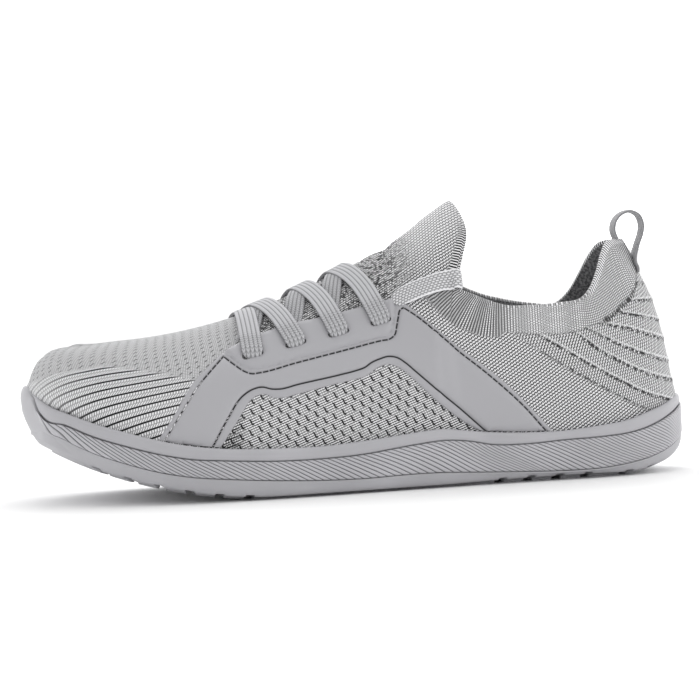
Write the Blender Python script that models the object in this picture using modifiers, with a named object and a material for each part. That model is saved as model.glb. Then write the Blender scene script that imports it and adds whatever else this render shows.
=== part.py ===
"""Knit sneaker for a left foot, standing on its sole.

The toe points to -X, the heel to +X, the outer side of the foot to -Y and +Z is up.
Tables and sizes below are in millimetres; the meshes are in metres.
"""

import math

import bmesh
import bpy
import numpy as np
from mathutils import Vector

MM = 0.001

# Driving sizes
HALF_LENGTH = 136.0
TOE_SPRING = 25.0
SPRING_START_X = -40.0
HEEL_BEVEL = 10.0
BEVEL_START_X = 95.0
BED_HEIGHT = 7.0
CORE_HEIGHT = 3.6
KNIT_WALL = 2.0
FEATHER_INSET = 4.0
GAP = 0.3
TONGUE_TIP = 0.614

# Sole outline seen from above: t runs from the toe tip to the back of the heel
OUTLINE_COLUMNS = ("t", "x", "outer_y", "inner_y")
OUTLINE_ROWS = (
    (0.00, -HALF_LENGTH, 10.4, 10.4),
    (0.04, -133.6, -5.1, 24.9),
    (0.08, -127.6, -18.6, 35.9),
    (0.13, -116.0, -31.6, 43.9),
    (0.19, -99.6, -42.1, 48.6),
    (0.27, -76.0, -48.8, 50.2),
    (0.36, -48.0, -50.2, 46.6),
    (0.46, -17.0, -46.6, 40.0),
    (0.56, 13.5, -41.6, 36.0),
    (0.66, 43.5, -37.4, 34.6),
    (0.76, 73.5, -34.6, 34.6),
    (0.84, 97.5, -32.2, 33.6),
    (0.90, 115.0, -27.0, 29.4),
    (0.95, 127.8, -17.8, 20.6),
    (0.98, 134.0, -7.6, 10.4),
    (1.00, HALF_LENGTH, 1.4, 1.4),
)

# Heights of the lines along the side of the sole
SIDE_COLUMNS = ("x", "part", "rib_top", "lip")
SIDE_ROWS = (
    (-HALF_LENGTH, 36.8, 38.5, 42.5),
    (-130.0, 32.1, 35.4, 40.1),
    (-122.0, 26.4, 32.1, 36.5),
    (-112.0, 21.2, 27.6, 32.6),
    (-100.0, 16.8, 23.6, 28.9),
    (-88.0, 13.2, 20.2, 25.5),
    (-75.0, 10.6, 17.3, 22.7),
    (-60.0, 9.6, 15.7, 20.9),
    (-40.0, 9.3, 14.5, 20.0),
    (-20.0, 8.5, 14.5, 19.8),
    (-5.0, 7.8, 15.6, 20.8),
    (8.0, 7.2, 17.6, 21.9),
    (18.0, 6.7, 18.7, 22.9),
    (28.0, 6.2, 19.2, 23.5),
    (38.0, 5.6, 18.1, 22.2),
    (48.0, 5.1, 16.0, 21.0),
    (62.0, 4.4, 15.5, 20.1),
    (78.0, 3.9, 16.2, 19.9),
    (94.0, 4.1, 16.6, 21.2),
    (106.0, 5.4, 17.5, 22.6),
    (116.0, 7.3, 19.7, 25.3),
    (126.0, 10.8, 23.6, 28.1),
    (HALF_LENGTH, 16.0, 28.0, 31.0),
)

# Sections of the upper: where each ends at the top, and how it rises and rounds over.
# half is the half width of the opening there, inner_lift how much higher the inner rim lies,
# rise the upright part at the foot, spread and drop the slope at the top, lean a pull to the toe.
UPPER_COLUMNS = ("t", "x", "y", "half", "z", "inner_lift", "rise", "spread", "drop", "lean")
UPPER_ROWS = (
    (0.0000, -112.0, 8.4, 0.0, 62.9, 0.0, 0.860, 0.90, 0.00, 0.0),
    (0.0600, -105.0, 7.9, 0.0, 62.8, 0.0, 0.800, 0.82, 0.00, 0.0),
    (0.1200, -96.0, 7.4, 0.0, 63.4, 0.0, 0.720, 0.74, 0.00, 0.0),
    (0.2000, -82.0, 6.4, 0.0, 64.5, 0.0, 0.620, 0.64, 0.00, 0.0),
    (0.2800, -64.5, 5.4, 0.0, 67.3, 0.0, 0.560, 0.58, 0.00, 0.0),
    (0.3600, -45.0, 4.4, 0.0, 72.3, 0.0, 0.520, 0.54, 0.02, 0.0),
    (0.4400, -24.0, 3.9, 0.0, 79.7, 0.0, 0.490, 0.50, 0.03, 0.0),
    (0.5100, -3.5, 3.4, 0.0, 88.2, 0.0, 0.460, 0.50, 0.04, 0.0),
    (0.5550, 11.5, 3.4, 0.0, 95.2, 0.0, 0.440, 0.50, 0.05, 0.0),
    (0.5850, 24.0, 3.4, 0.0, 102.6, 0.0, 0.420, 0.51, 0.05, 0.0),
    (0.6030, 34.0, 3.4, 0.0, 110.0, 0.0, 0.410, 0.51, 0.05, -1.0),
    (TONGUE_TIP, 42.0, 3.4, 0.0, 114.4, 0.0, 0.400, 0.54, 0.06, -3.0),
    (0.6225, 44.3, 3.0, 7.6, 109.5, 0.0, 0.400, 0.43, 0.10, -6.0),
    (0.6315, 45.0, 2.2, 14.3, 101.5, 0.0, 0.400, 0.38, 0.14, -9.0),
    (0.6405, 43.0, 1.4, 19.2, 92.5, 1.0, 0.400, 0.32, 0.18, -10.0),
    (0.6510, 39.9, 0.8, 21.9, 83.0, 3.0, 0.410, 0.23, 0.24, -5.5),
    (0.6600, 40.8, 0.9, 23.9, 78.5, 4.2, 0.415, 0.18, 0.26, -1.5),
    (0.6720, 43.5, 1.1, 25.5, 75.8, 5.0, 0.420, 0.14, 0.28, 0.0),
    (0.6920, 53.0, 1.3, 27.3, 72.3, 4.8, 0.430, 0.10, 0.30, 0.0),
    (0.7400, 67.0, 1.1, 27.7, 70.5, 2.0, 0.450, 0.10, 0.30, 0.0),
    (0.7850, 80.0, 1.0, 27.0, 71.1, -0.5, 0.450, 0.12, 0.30, 0.0),
    (0.8250, 89.0, 1.0, 25.1, 72.7, -1.2, 0.460, 0.20, 0.29, 0.0),
    (0.8600, 94.4, 1.2, 21.9, 77.2, 0.0, 0.460, 0.30, 0.27, 0.0),
    (0.8950, 98.6, 1.6, 17.6, 83.3, 0.0, 0.460, 0.40, 0.25, 0.0),
    (0.9300, 102.4, 1.4, 12.4, 89.4, 0.0, 0.450, 0.50, 0.24, 0.0),
    (0.9650, 106.0, 1.4, 7.4, 93.8, 0.0, 0.440, 0.56, 0.23, 0.0),
    (1.0000, 111.0, 1.4, 0.0, 95.4, 0.0, 0.430, 0.60, 0.23, 0.0),
)
UPPER_STEPS_UP = 10
UPPER_LONGEST_STEP = 0.032

# Ribs, tread and sole walls
RIB_COUNT = 64
RIB_DEPTH = 0.6
RIB_SLOPE = 3.7
BAND_THICKNESS = 1.6
BAND_STEPS = 4
BAND_SEAT = 2.0
LIP_INSET = 0.8
TREAD_GROOVE_X = (-112.0, -100.0, -88.0, -76.0, -64.0, -52.0, 52.0, 64.0, 76.0, 88.0, 106.0, 116.0)
TREAD_GROOVE_WIDTH = 3.2
TREAD_GROOVE_DEPTH = 1.6
GROOVE_WALL = 0.5
INSOLE_THICKNESS = 3.0

# Overlays and eyestay: side-view outlines as corners with a rounding radius
OVERLAY_THICKNESS = 1.0
CORNER_COLUMNS = ("x", "z", "radius")
EYESTAY_CORNERS = (
    (-57.0, 57.3, 0.6),
    (-44.9, 62.9, 20.0),
    (-29.2, 67.2, 0.0),
    (8.2, 74.6, 4.0),
    (14.4, 75.2, 1.5),
    (12.6, 69.3, 0.0),
    (10.8, 60.9, 3.0),
    (-45.8, 50.0, 4.0),
    (-50.4, 50.2, 2.0),
)
OVERLAY_CORNERS = (
    (-88.0, 22.5, 0.0),
    (-76.8, 38.8, 0.0),
    (-72.1, 45.5, 12.0),
    (-58.2, 57.6, 0.6),
    (-50.7, 49.6, 2.0),
    (-45.8, 49.4, 4.0),
    (11.3, 60.2, 3.0),
    (13.2, 69.3, 0.0),
    (15.6, 75.2, 2.0),
    (21.6, 69.7, 0.0),
    (46.4, 47.8, 0.0),
    (55.3, 40.0, 20.0),
    (75.5, 18.0, 0.0),
    (45.0, 18.0, 0.0),
    (26.3, 34.4, 0.0),
    (10.2, 50.6, 6.0),
    (4.0, 49.6, 4.0),
    (-1.5, 45.7, 3.0),
    (-39.5, 38.7, 3.0),
    (-43.4, 41.2, 3.0),
    (-49.6, 39.2, 5.0),
    (-65.0, 18.0, 0.0),
    (-88.0, 18.0, 0.0),
)
SHELL_FROM, SHELL_TO, SHELL_STEPS_ALONG = 0.215, 0.785, 34
SHELL_STEPS_UP = 9

# Lacing: slots in the eyestay, and the run of each strand over the tongue
LACE_WIDTH = 8.6
LACE_THICKNESS = 1.5
SLOT_COLUMNS = ("x", "z")
SLOT_ROWS = ((-46.3, 55.6), (-28.6, 59.2), (-11.0, 62.7), (6.5, 66.6))
SLOT_LENGTH, SLOT_WIDTH, SLOT_TILT = 9.0, 2.8, math.radians(14.0)
EYELET_W = 0.45
THROAT_W = 0.29
STRAND_COLUMNS = ("t_eyelet", "t_ridge", "over", "under")
FIRST_BAR = (0.362, 0.353, 1.75)
STRAND_ROWS = (
    (0.423, 0.390, 2.05, 0.70),
    (0.483, 0.447, 2.25, 0.80),
    (0.540, 0.499, 2.45, 0.95),
)
STRAND_STEPS = 12

# Lace ends, in side view: along the upper to the rim, folded over it, and forward along the lining
TAIL_COLUMNS = ("x", "z")
TAIL_OUTSIDE = ((21.5, 76.0), (25.8, 78.2), (30.0, 80.2), (34.0, 81.7), (37.0, 82.4))
TAIL_INSIDE = ((36.5, 82.2), (32.0, 80.6), (27.0, 78.2), (22.0, 75.2), (17.0, 71.7), (12.5, 67.8))
TAIL_RIM = (0.646, 0.652, 0.660)
TAIL_WIDTH = 7.6
TAIL_THICKNESS = 1.3
TAIL_CLEAR = 0.7
FOLD_COLUMNS = ("past_rim", "away", "faces_out", "faces_back")
FOLD_ROWS = (
    (-0.8, 0.90, 1.0, 0.0),
    (2.4, 0.80, 0.95, 0.3),
    (3.4, 0.10, 0.6, 0.8),
    (3.8, -1.10, 0.0, 1.0),
    (3.4, -2.50, -0.6, 0.8),
    (2.4, -3.30, -0.95, 0.3),
    (-0.8, -4.20, -1.0, 0.0),
)

# Pull loop: side view of the middle of the webbing, then its run down the heel seam
LOOP_WIDTH = 9.0
LOOP_THICKNESS = 1.3
LOOP_COLUMNS = ("x", "z")
LOOP_ROWS = (
    (110.1, 95.8),
    (108.9, 99.5),
    (109.7, 103.2),
    (112.8, 106.3),
    (116.9, 107.4),
    (120.8, 105.8),
    (122.8, 101.6),
    (122.4, 97.0),
    (121.0, 92.0),
    (119.4, 87.5),
)
LOOP_SEAM_W = (0.200, 0.225, 0.250)

COLOURS = {
    "rubber": ((0.31, 0.31, 0.32), 0.6),
    "lip": ((0.33, 0.33, 0.34), 0.55),
    "knit": ((0.47, 0.47, 0.48), 0.95),
    "film": ((0.36, 0.36, 0.38), 0.45),
    "cord": ((0.52, 0.52, 0.53), 0.9),
    "lining": ((0.25, 0.25, 0.26), 0.95),
    "webbing": ((0.4, 0.4, 0.41), 0.9),
}


def columns(names, rows):
    """Named columns of a table, as arrays."""
    return dict(zip(names, np.array(rows, float).T))


OUTLINE = columns(OUTLINE_COLUMNS, OUTLINE_ROWS)
SIDE = columns(SIDE_COLUMNS, SIDE_ROWS)
UPPER = columns(UPPER_COLUMNS, UPPER_ROWS)


def smooth(knots, values, at, first=None, last=None):
    """Cubic curve through the rows of a table; a row's slope comes from its neighbours."""
    at = np.asarray(at, float)
    span = np.diff(knots)
    chord = np.diff(values) / span
    slope = np.empty(len(knots))
    slope[1:-1] = (chord[:-1] * span[1:] + chord[1:] * span[:-1]) / (span[:-1] + span[1:])
    slope[0] = chord[0] if first is None else first
    slope[-1] = chord[-1] if last is None else last
    row = np.clip(np.searchsorted(knots, at, side="right") - 1, 0, len(span) - 1)
    step = span[row]
    s = (at - knots[row]) / step
    return (
        (1 + 2 * s) * (1 - s) ** 2 * values[row]
        + s * (1 - s) ** 2 * step * slope[row]
        + s * s * (3 - 2 * s) * values[row + 1]
        + s * s * (s - 1) * step * slope[row + 1]
    )


def outline(t, side):
    """Outermost line of the sole; side is -1 for the outer and 1 for the inner side of the foot."""
    knots = OUTLINE["t"]
    mine, other = OUTLINE["outer_y"], OUTLINE["inner_y"]
    if side > 0:
        mine, other = other, mine
    first = (mine[1] - other[1]) / (2 * knots[1])
    last = (other[-2] - mine[-2]) / (2 * (1 - knots[-2]))
    return smooth(knots, OUTLINE["x"], t, 0.0, 0.0), smooth(knots, mine, t, first, last)


def inset_outline(t, side, inset):
    """The outline moved inwards, as x and y."""
    nudge = 1e-4
    before_x, before_y = outline(np.clip(t - nudge, 0, 1), side)
    after_x, after_y = outline(np.clip(t + nudge, 0, 1), side)
    along_x = np.where((t <= 0) | (t >= 1), 0.0, after_x - before_x)
    along_y = after_y - before_y
    length = np.hypot(along_x, along_y)
    x, y = outline(t, side)
    return x + side * inset * along_y / length, y - side * inset * along_x / length


def toe_rise(x):
    return TOE_SPRING * (np.clip(SPRING_START_X - x, 0, None) / (HALF_LENGTH + SPRING_START_X)) ** 2


def heel_rise(x):
    return HEEL_BEVEL * (np.clip(x - BEVEL_START_X, 0, None) / (HALF_LENGTH - BEVEL_START_X)) ** 2.6


def ground(x):
    """Underside of the sole: flat between the toe spring and the heel bevel."""
    return toe_rise(x) + heel_rise(x)


def core(x):
    """Top of the outsole inside its side band."""
    return CORE_HEIGHT + toe_rise(x) + 0.75 * heel_rise(x)


def bed(x):
    """Footbed that the upper and the insole stand on."""
    return BED_HEIGHT + toe_rise(x) + 0.55 * heel_rise(x)


def side_height(name, x):
    return smooth(SIDE["x"], SIDE[name], x)


def upper_point(t, w):
    """Outer face of the upper: t from toe to heel, w from -1 at the outer foot by 0 at the top to 1."""
    t, w = np.broadcast_arrays(np.asarray(t, float), np.asarray(w, float))
    side = np.where(w < 0, -1.0, 1.0)
    outer_foot = np.stack(inset_outline(t, -1, FEATHER_INSET))
    inner_foot = np.stack(inset_outline(t, 1, FEATHER_INSET))
    foot_x, foot_y = np.where(side < 0, outer_foot, inner_foot)
    foot = np.stack([foot_x, foot_y, bed(foot_x) + GAP], -1)
    row = {name: smooth(UPPER["t"], UPPER[name], t) for name in UPPER_COLUMNS}
    opening = (t > TONGUE_TIP) & (t < 1.0)
    half = np.where(opening, np.clip(row["half"], 0, None), 0.0)
    lift = np.where(opening & (side > 0), row["inner_lift"], 0.0)
    top = np.stack([row["x"], row["y"] + side * half, row["z"] + lift], -1)
    level = (foot - top) * np.array([1.0, 1.0, 0.0])
    height = (top - foot) * np.array([0.0, 0.0, 1.0])
    first = foot + height * row["rise"][..., None]
    second = top + level * row["spread"][..., None] - height * row["drop"][..., None]
    second = second + row["lean"][..., None] * np.array([1.0, 0.0, 0.0])
    v = (1 - np.abs(w))[..., None]
    return (
        (1 - v) ** 3 * foot
        + 3 * v * (1 - v) ** 2 * first
        + 3 * v * v * (1 - v) * second
        + v ** 3 * top
    )


def upper_normal(t, w):
    """Outward normal of the upper, one-sided at the rim of the opening."""
    t, w = np.broadcast_arrays(np.asarray(t, float), np.asarray(w, float))
    nudge = 1e-3
    low, high = w - nudge, w + nudge
    rim = t > TONGUE_TIP
    high = np.where(rim & (w < 0), np.minimum(high, -1e-6), high)
    low = np.where(rim & (w >= 0), np.maximum(low, 1e-6), low)
    across = upper_point(t, high) - upper_point(t, low)
    along = upper_point(np.clip(t + nudge, 0, 1), w) - upper_point(np.clip(t - nudge, 0, 1), w)
    normal = np.cross(along, across)
    return normal / np.linalg.norm(normal, axis=-1, keepdims=True)


def upper_offset(t, w, distance):
    return upper_point(t, w) + upper_normal(t, w) * np.asarray(distance, float)[..., None]


def patch(shape, points):
    """Adds a grid to a bmesh and moves its vertices to rows of points in millimetres."""
    rows, across = points.shape[:2]
    made = bmesh.ops.create_grid(shape, x_segments=across - 1, y_segments=rows - 1, size=1.0)
    for vertex, point in zip(made["verts"], points.reshape(-1, 3)):
        vertex.co = Vector(point) * MM


def welded(shape):
    """Joins the patches of a bmesh where they meet."""
    bmesh.ops.remove_doubles(shape, verts=shape.verts, dist=2e-6)
    bmesh.ops.dissolve_degenerate(shape, edges=shape.edges, dist=1e-6)
    bmesh.ops.recalc_face_normals(shape, faces=shape.faces)


def new_object(name, shape, colour, collection):
    mesh = bpy.data.meshes.new(name)
    shape.to_mesh(mesh)
    shape.free()
    mesh.shade_smooth()
    mesh.set_sharp_from_angle(angle=math.radians(35.0))
    part = bpy.data.objects.new(name, mesh)
    collection.objects.link(part)
    if colour:
        mesh.materials.append(material(colour))
    return part


def material(name):
    found = bpy.data.materials.get(name)
    if found:
        return found
    made = bpy.data.materials.new(name)
    made.use_nodes = True
    surface = made.node_tree.nodes["Principled BSDF"]
    colour, roughness = COLOURS[name]
    surface.inputs["Base Color"].default_value = (*colour, 1.0)
    surface.inputs["Roughness"].default_value = roughness
    surface.inputs["Metallic"].default_value = 0.0
    return made


def solidify(part, thickness, offset):
    wall = part.modifiers.new("wall", "SOLIDIFY")
    wall.thickness = thickness * MM
    wall.offset = offset


def boolean(part, operation, other):
    cut = part.modifiers.new(other.name, "BOOLEAN")
    cut.operation = operation
    cut.object = other
    cut.solver = "EXACT"


def ring(t, inset, height):
    """Closed loop round the shoe: outer side from toe to heel, then inner side back to the toe."""
    loops = []
    for side, order in ((-1, t), (1, t[::-1])):
        x, y = inset_outline(order, side, inset)
        loops.append(np.stack([x, y, height(x)], -1))
    return np.concatenate([loops[0], loops[1][1:]])


def sole_solid(name, t, rings, colour, collection):
    """Solid from loops round the shoe, closed by strips that run straight across it."""
    shape = bmesh.new()
    patch(shape, np.stack(rings))
    for loop in (rings[0], rings[-1]):
        outer, inner = loop[: len(t)], loop[len(t) - 1:][::-1]
        patch(shape, np.stack([outer, inner]))
    welded(shape)
    return new_object(name, shape, colour, collection)


def end_spaced(count):
    """Steps from toe to heel, closer together at both ends."""
    even = np.linspace(0, 1, count)
    return even - 0.55 * np.sin(2 * math.pi * even) / (2 * math.pi)


def make_outsole(collection):
    """Rubber bottom: flat between its bars, rounded at the edge, with a thin band up the side."""
    at_x = outline(np.linspace(0, 1, 2001), -1)[0]
    grooves = []
    for x in TREAD_GROOVE_X:
        for offset in (-TREAD_GROOVE_WIDTH / 2 - GROOVE_WALL, -TREAD_GROOVE_WIDTH / 2,
                       TREAD_GROOVE_WIDTH / 2, TREAD_GROOVE_WIDTH / 2 + GROOVE_WALL):
            grooves.append(np.interp(x + offset, at_x, np.linspace(0, 1, 2001)))
    plain = [t for t in end_spaced(44) if np.abs(np.array(grooves) - t).min() > 0.006]
    t = np.array(sorted(plain + grooves))

    def depth(x):
        away = np.abs(x[:, None] - np.array(TREAD_GROOVE_X)).min(axis=1)
        return TREAD_GROOVE_DEPTH * (away < TREAD_GROOVE_WIDTH / 2 + GROOVE_WALL / 2)

    station_x = outline(t, -1)[0]
    cut = np.concatenate([depth(station_x), depth(station_x)[::-1][1:]])
    contact = ring(t, 8.0, ground)
    edge = ring(t, 2.6, lambda x: ground(x) + 0.7)
    contact[:, 2] += cut
    edge[:, 2] += cut * 0.8
    rings = [
        contact,
        edge,
        ring(t, 0.9, lambda x: ground(x) + 2.3),
        ring(t, 0.3, lambda x: side_height("part", x) - GAP / 2),
        ring(t, BAND_SEAT, lambda x: side_height("part", x) - GAP / 2),
        ring(t, BAND_SEAT + 0.1, core),
    ]
    return sole_solid("outsole", t, rings, "rubber", collection)


def make_midsole(collection):
    """Cup of the sole: footbed, wall behind the ribs, and the lip that stands out above them."""
    t = end_spaced(52)
    behind = BAND_SEAT + GAP
    lip_top = ring(t, 1.6, lambda x: side_height("lip", x))
    inner_top = ring(t, FEATHER_INSET - GAP - 0.1, lambda x: side_height("lip", x) - 0.3)
    rings = [
        ring(t, behind + 0.1, lambda x: core(x) + GAP),
        ring(t, behind, lambda x: side_height("rib_top", x) + GAP / 2),
        ring(t, LIP_INSET + 0.2, lambda x: side_height("rib_top", x) + GAP / 2),
        ring(t, LIP_INSET - 0.2, lambda x: side_height("rib_top", x) + 1.3),
        ring(t, LIP_INSET - 0.1, lambda x: side_height("lip", x) - 1.1),
        lip_top,
        inner_top,
        ring(t, FEATHER_INSET - GAP, bed),
    ]
    return sole_solid("midsole", t, rings, "lip", collection)


def make_insole(collection):
    """Sock liner inside the knit, on the footbed."""
    t = end_spaced(34)
    inset = FEATHER_INSET + KNIT_WALL + 0.8
    rings = [
        ring(t, inset, lambda x: bed(x) + GAP),
        ring(t, inset, lambda x: bed(x) + INSOLE_THICKNESS),
        ring(t, inset + 1.2, lambda x: bed(x) + GAP + INSOLE_THICKNESS),
    ]
    return sole_solid("insole", t, rings, "lining", collection)


def make_band(collection):
    """Ribbed side of the sole: each rib slants down towards the heel, so lower loops lag the upper."""
    dense = np.linspace(0, 1, 1501)
    x = np.concatenate([outline(dense, -1)[0], outline(dense[::-1], 1)[0][1:]])
    y = np.concatenate([outline(dense, -1)[1], outline(dense[::-1], 1)[1][1:]])
    travel = np.concatenate([[0], np.cumsum(np.hypot(np.diff(x), np.diff(y)))])
    perimeter = travel[-1]
    both = np.concatenate([dense, 2 - dense[::-1][1:]])
    start = np.arange(2 * RIB_COUNT + 1) * perimeter / (2 * RIB_COUNT)
    height = side_height("rib_top", x) - side_height("part", x) - GAP
    crest = np.arange(2 * RIB_COUNT + 1) % 2

    def band_loop(down, inset, ribbed):
        lag = RIB_SLOPE * np.interp(start, travel, height) * down
        run = np.interp((start + lag) % perimeter, travel, both)
        t = np.where(run <= 1, run, 2 - run)
        depth = inset + RIB_DEPTH * crest * ribbed
        outer = np.stack(inset_outline(t, -1, depth))
        inner = np.stack(inset_outline(t, 1, depth))
        px, py = np.where(run <= 1, outer, inner)
        top = side_height("rib_top", px) - GAP / 2
        bottom = side_height("part", px) + GAP / 2
        return np.stack([px, py, top + (bottom - top) * down], -1)

    shape = bmesh.new()
    downward = np.linspace(0, 1, BAND_STEPS + 1)
    outside = [band_loop(down, 0.4 * (abs(2 * down - 1) == 1), True) for down in downward]
    inside = [band_loop(down, BAND_THICKNESS, False) for down in downward[::-1]]
    rings = outside + inside + outside[:1]
    patch(shape, np.stack(rings))
    welded(shape)
    return new_object("sidewall_band", shape, "rubber", collection)


def upper_steps():
    """Stations of the upper: every section row, with more between rows that lie far apart."""
    steps = []
    for here, there in zip(UPPER["t"][:-1], UPPER["t"][1:]):
        pieces = math.ceil((there - here) / UPPER_LONGEST_STEP)
        steps.extend(np.linspace(here, there, pieces + 1)[:-1])
    return np.array(steps + [1.0])


def make_upper(collection):
    """Knitted bootie: two sides that meet along the toe, the instep and the heel, with a wall inside."""
    shape = bmesh.new()
    t = upper_steps()
    for side in (-1, 1):
        w = side * np.maximum(np.linspace(1, 0, UPPER_STEPS_UP + 1), 1e-9)
        patch(shape, upper_point(t[:, None], w[None, :]))
    welded(shape)
    middle = Vector((0.0, 0.0, 0.04))
    facing = sum((face.calc_center_median() - middle).dot(face.normal) for face in shape.faces)
    if facing < 0:
        bmesh.ops.reverse_faces(shape, faces=shape.faces)
    part = new_object("upper", shape, "knit", collection)
    solidify(part, KNIT_WALL, -1.0)
    return part


def rounded(corners):
    """Outline through its corners, each with its own radius, as points in the side view."""
    points = np.array(corners, float)
    line = []
    for i, (x, z, radius) in enumerate(points):
        here = np.array([x, z])
        back = points[i - 1, :2] - here
        ahead = points[(i + 1) % len(points), :2] - here
        back_length, ahead_length = np.linalg.norm(back), np.linalg.norm(ahead)
        back, ahead = back / back_length, ahead / ahead_length
        half = math.acos(np.clip(back @ ahead, -1, 1)) / 2
        if radius == 0 or half > math.radians(89):
            line.append(here)
            continue
        reach = min(radius / math.tan(half), 0.45 * back_length, 0.45 * ahead_length)
        start, end = here + back * reach, here + ahead * reach
        count = 3 if radius < 3 else 5
        for s in np.linspace(0, 1, count):
            line.append((1 - s) ** 2 * start + 2 * s * (1 - s) * here + s * s * end)
    return np.array(line)


def prism(name, line, side, collection):
    """Cutter through one side of the shoe, from an outline in the side view."""
    shape = bmesh.new()
    near, far = side * 5.0, side * 70.0
    corners = [shape.verts.new(Vector((x, near, z)) * MM) for x, z in line]
    face = shape.faces.new(corners)
    made = bmesh.ops.extrude_face_region(shape, geom=[face])
    moved = [item for item in made["geom"] if isinstance(item, bmesh.types.BMVert)]
    bmesh.ops.translate(shape, verts=moved, vec=Vector((0, (far - near) * MM, 0)))
    bmesh.ops.recalc_face_normals(shape, faces=shape.faces)
    cutter = new_object(name, shape, None, collection)
    cutter.hide_render = True
    cutter.display_type = "WIRE"
    return cutter


def film_shell(name, side, collection):
    """Sheet over one side of the upper, which the overlay and the eyestay are cut from."""
    t = np.linspace(SHELL_FROM, SHELL_TO, SHELL_STEPS_ALONG + 1)
    w = side * np.linspace(0.97, 0.27, SHELL_STEPS_UP + 1)
    shape = bmesh.new()
    for distance in (GAP, GAP + OVERLAY_THICKNESS):
        sheet = upper_offset(t[:, None], w[None, :], np.full((len(t), len(w)), distance))
        low = side_height("lip", sheet[..., 0]) + GAP
        sheet[..., 2] = np.maximum(sheet[..., 2], low - 0.02 * (low - sheet[..., 2]))
        patch(shape, sheet)
    border = [edge for edge in shape.edges if edge.is_boundary]
    bmesh.ops.bridge_loops(shape, edges=border)
    bmesh.ops.recalc_face_normals(shape, faces=shape.faces)
    return new_object(name, shape, "film", collection)


def make_films(parts, cutters):
    """Overlay and eyestay on each side, cut from one sheet by their outlines."""
    for side, word in ((-1, "lateral"), (1, "medial")):
        overlay = film_shell(f"overlay_{word}", side, parts)
        boolean(overlay, "INTERSECT", prism(f"overlay_cut_{word}", rounded(OVERLAY_CORNERS), side, cutters))
        eyestay = film_shell(f"eyestay_{word}", side, parts)
        boolean(eyestay, "INTERSECT", prism(f"eyestay_cut_{word}", rounded(EYESTAY_CORNERS), side, cutters))
        for number, (x, z) in enumerate(SLOT_ROWS, 1):
            boolean(eyestay, "DIFFERENCE", prism(f"slot_{number}_{word}", slot_line(x, z), side, cutters))


def slot_line(x, z):
    """Round-ended lace slot along the eyestay."""
    straight = (SLOT_LENGTH - SLOT_WIDTH) / 2
    along = np.array([math.cos(SLOT_TILT), math.sin(SLOT_TILT)])
    across = np.array([-along[1], along[0]])
    line = []
    for end in (1, -1):
        for turn in np.linspace(-math.pi / 2, math.pi / 2, 5):
            offset = along * (straight + SLOT_WIDTH / 2 * math.cos(turn)) + across * SLOT_WIDTH / 2 * math.sin(turn)
            line.append(np.array([x, z]) + end * offset)
    return np.array(line)


def strip(name, centre, sideways, width, thickness, colour, collection, outward):
    """Flat strip along a run of points, with its thickness on the outward side."""
    shape = bmesh.new()
    edges = np.stack([centre - sideways * width / 2, centre + sideways * width / 2])
    patch(shape, np.concatenate([edges, edges[::-1] + outward * thickness, edges[:1]]))
    for end in (0, -1):
        low, high = edges[:, end], edges[:, end] + outward[end] * thickness
        patch(shape, np.stack([low, high]))
    welded(shape)
    return new_object(name, shape, colour, collection)


def unit(vectors):
    return vectors / np.linalg.norm(vectors, axis=-1, keepdims=True)


def strand(name, t, w, distance, collection):
    """Lace strand that follows the upper at a distance from it."""
    centre = upper_offset(t, w, distance)
    normal = upper_normal(t, w)
    sideways = unit(np.cross(normal, np.gradient(centre, axis=0)))
    return strip(name, centre, sideways, LACE_WIDTH, LACE_THICKNESS, "cord", collection, normal)


def make_lace(parts, cutters):
    """First bar straight across, then three crossings; the strand from the outer eyelet lies on top."""
    t_eyelet, t_ridge, over = FIRST_BAR
    w = np.linspace(-EYELET_W, EYELET_W, STRAND_STEPS + 1)
    t = t_ridge + (t_eyelet - t_ridge) * (w / EYELET_W) ** 2
    lace = strand("lace", t, w, np.full_like(w, over), parts)
    for number, (t_eyelet, t_ridge, over, under) in enumerate(STRAND_ROWS, 2):
        w = np.linspace(-EYELET_W, THROAT_W, STRAND_STEPS + 1)
        t = t_ridge - (t_eyelet - t_ridge) * w / EYELET_W
        upper_strand = strand(f"strand_over_{number}", t, w, np.full_like(w, over), cutters)
        near_eyelet = np.clip((-w - THROAT_W + 0.1) / 0.1, 0, 1)
        rise = near_eyelet * near_eyelet * (3 - 2 * near_eyelet)
        lower_strand = strand(f"strand_under_{number}", t, -w, under + (over - 0.3 - under) * rise, cutters)
        for piece in (upper_strand, lower_strand):
            piece.hide_render = True
            piece.display_type = "WIRE"
            boolean(lace, "UNION", piece)
    return lace


def side_view(x, z, side):
    """Places on one side of the upper that lie at these points of the side view, as t and w."""
    t, w = np.meshgrid(np.linspace(0.5, 0.66, 321), side * np.linspace(0.02, 0.62, 301))
    seen = upper_point(t, w)
    nearest = [np.argmin(np.hypot(seen[..., 0] - px, seen[..., 2] - pz)) for px, pz in zip(x, z)]
    return t.flat[nearest], w.flat[nearest]


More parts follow.
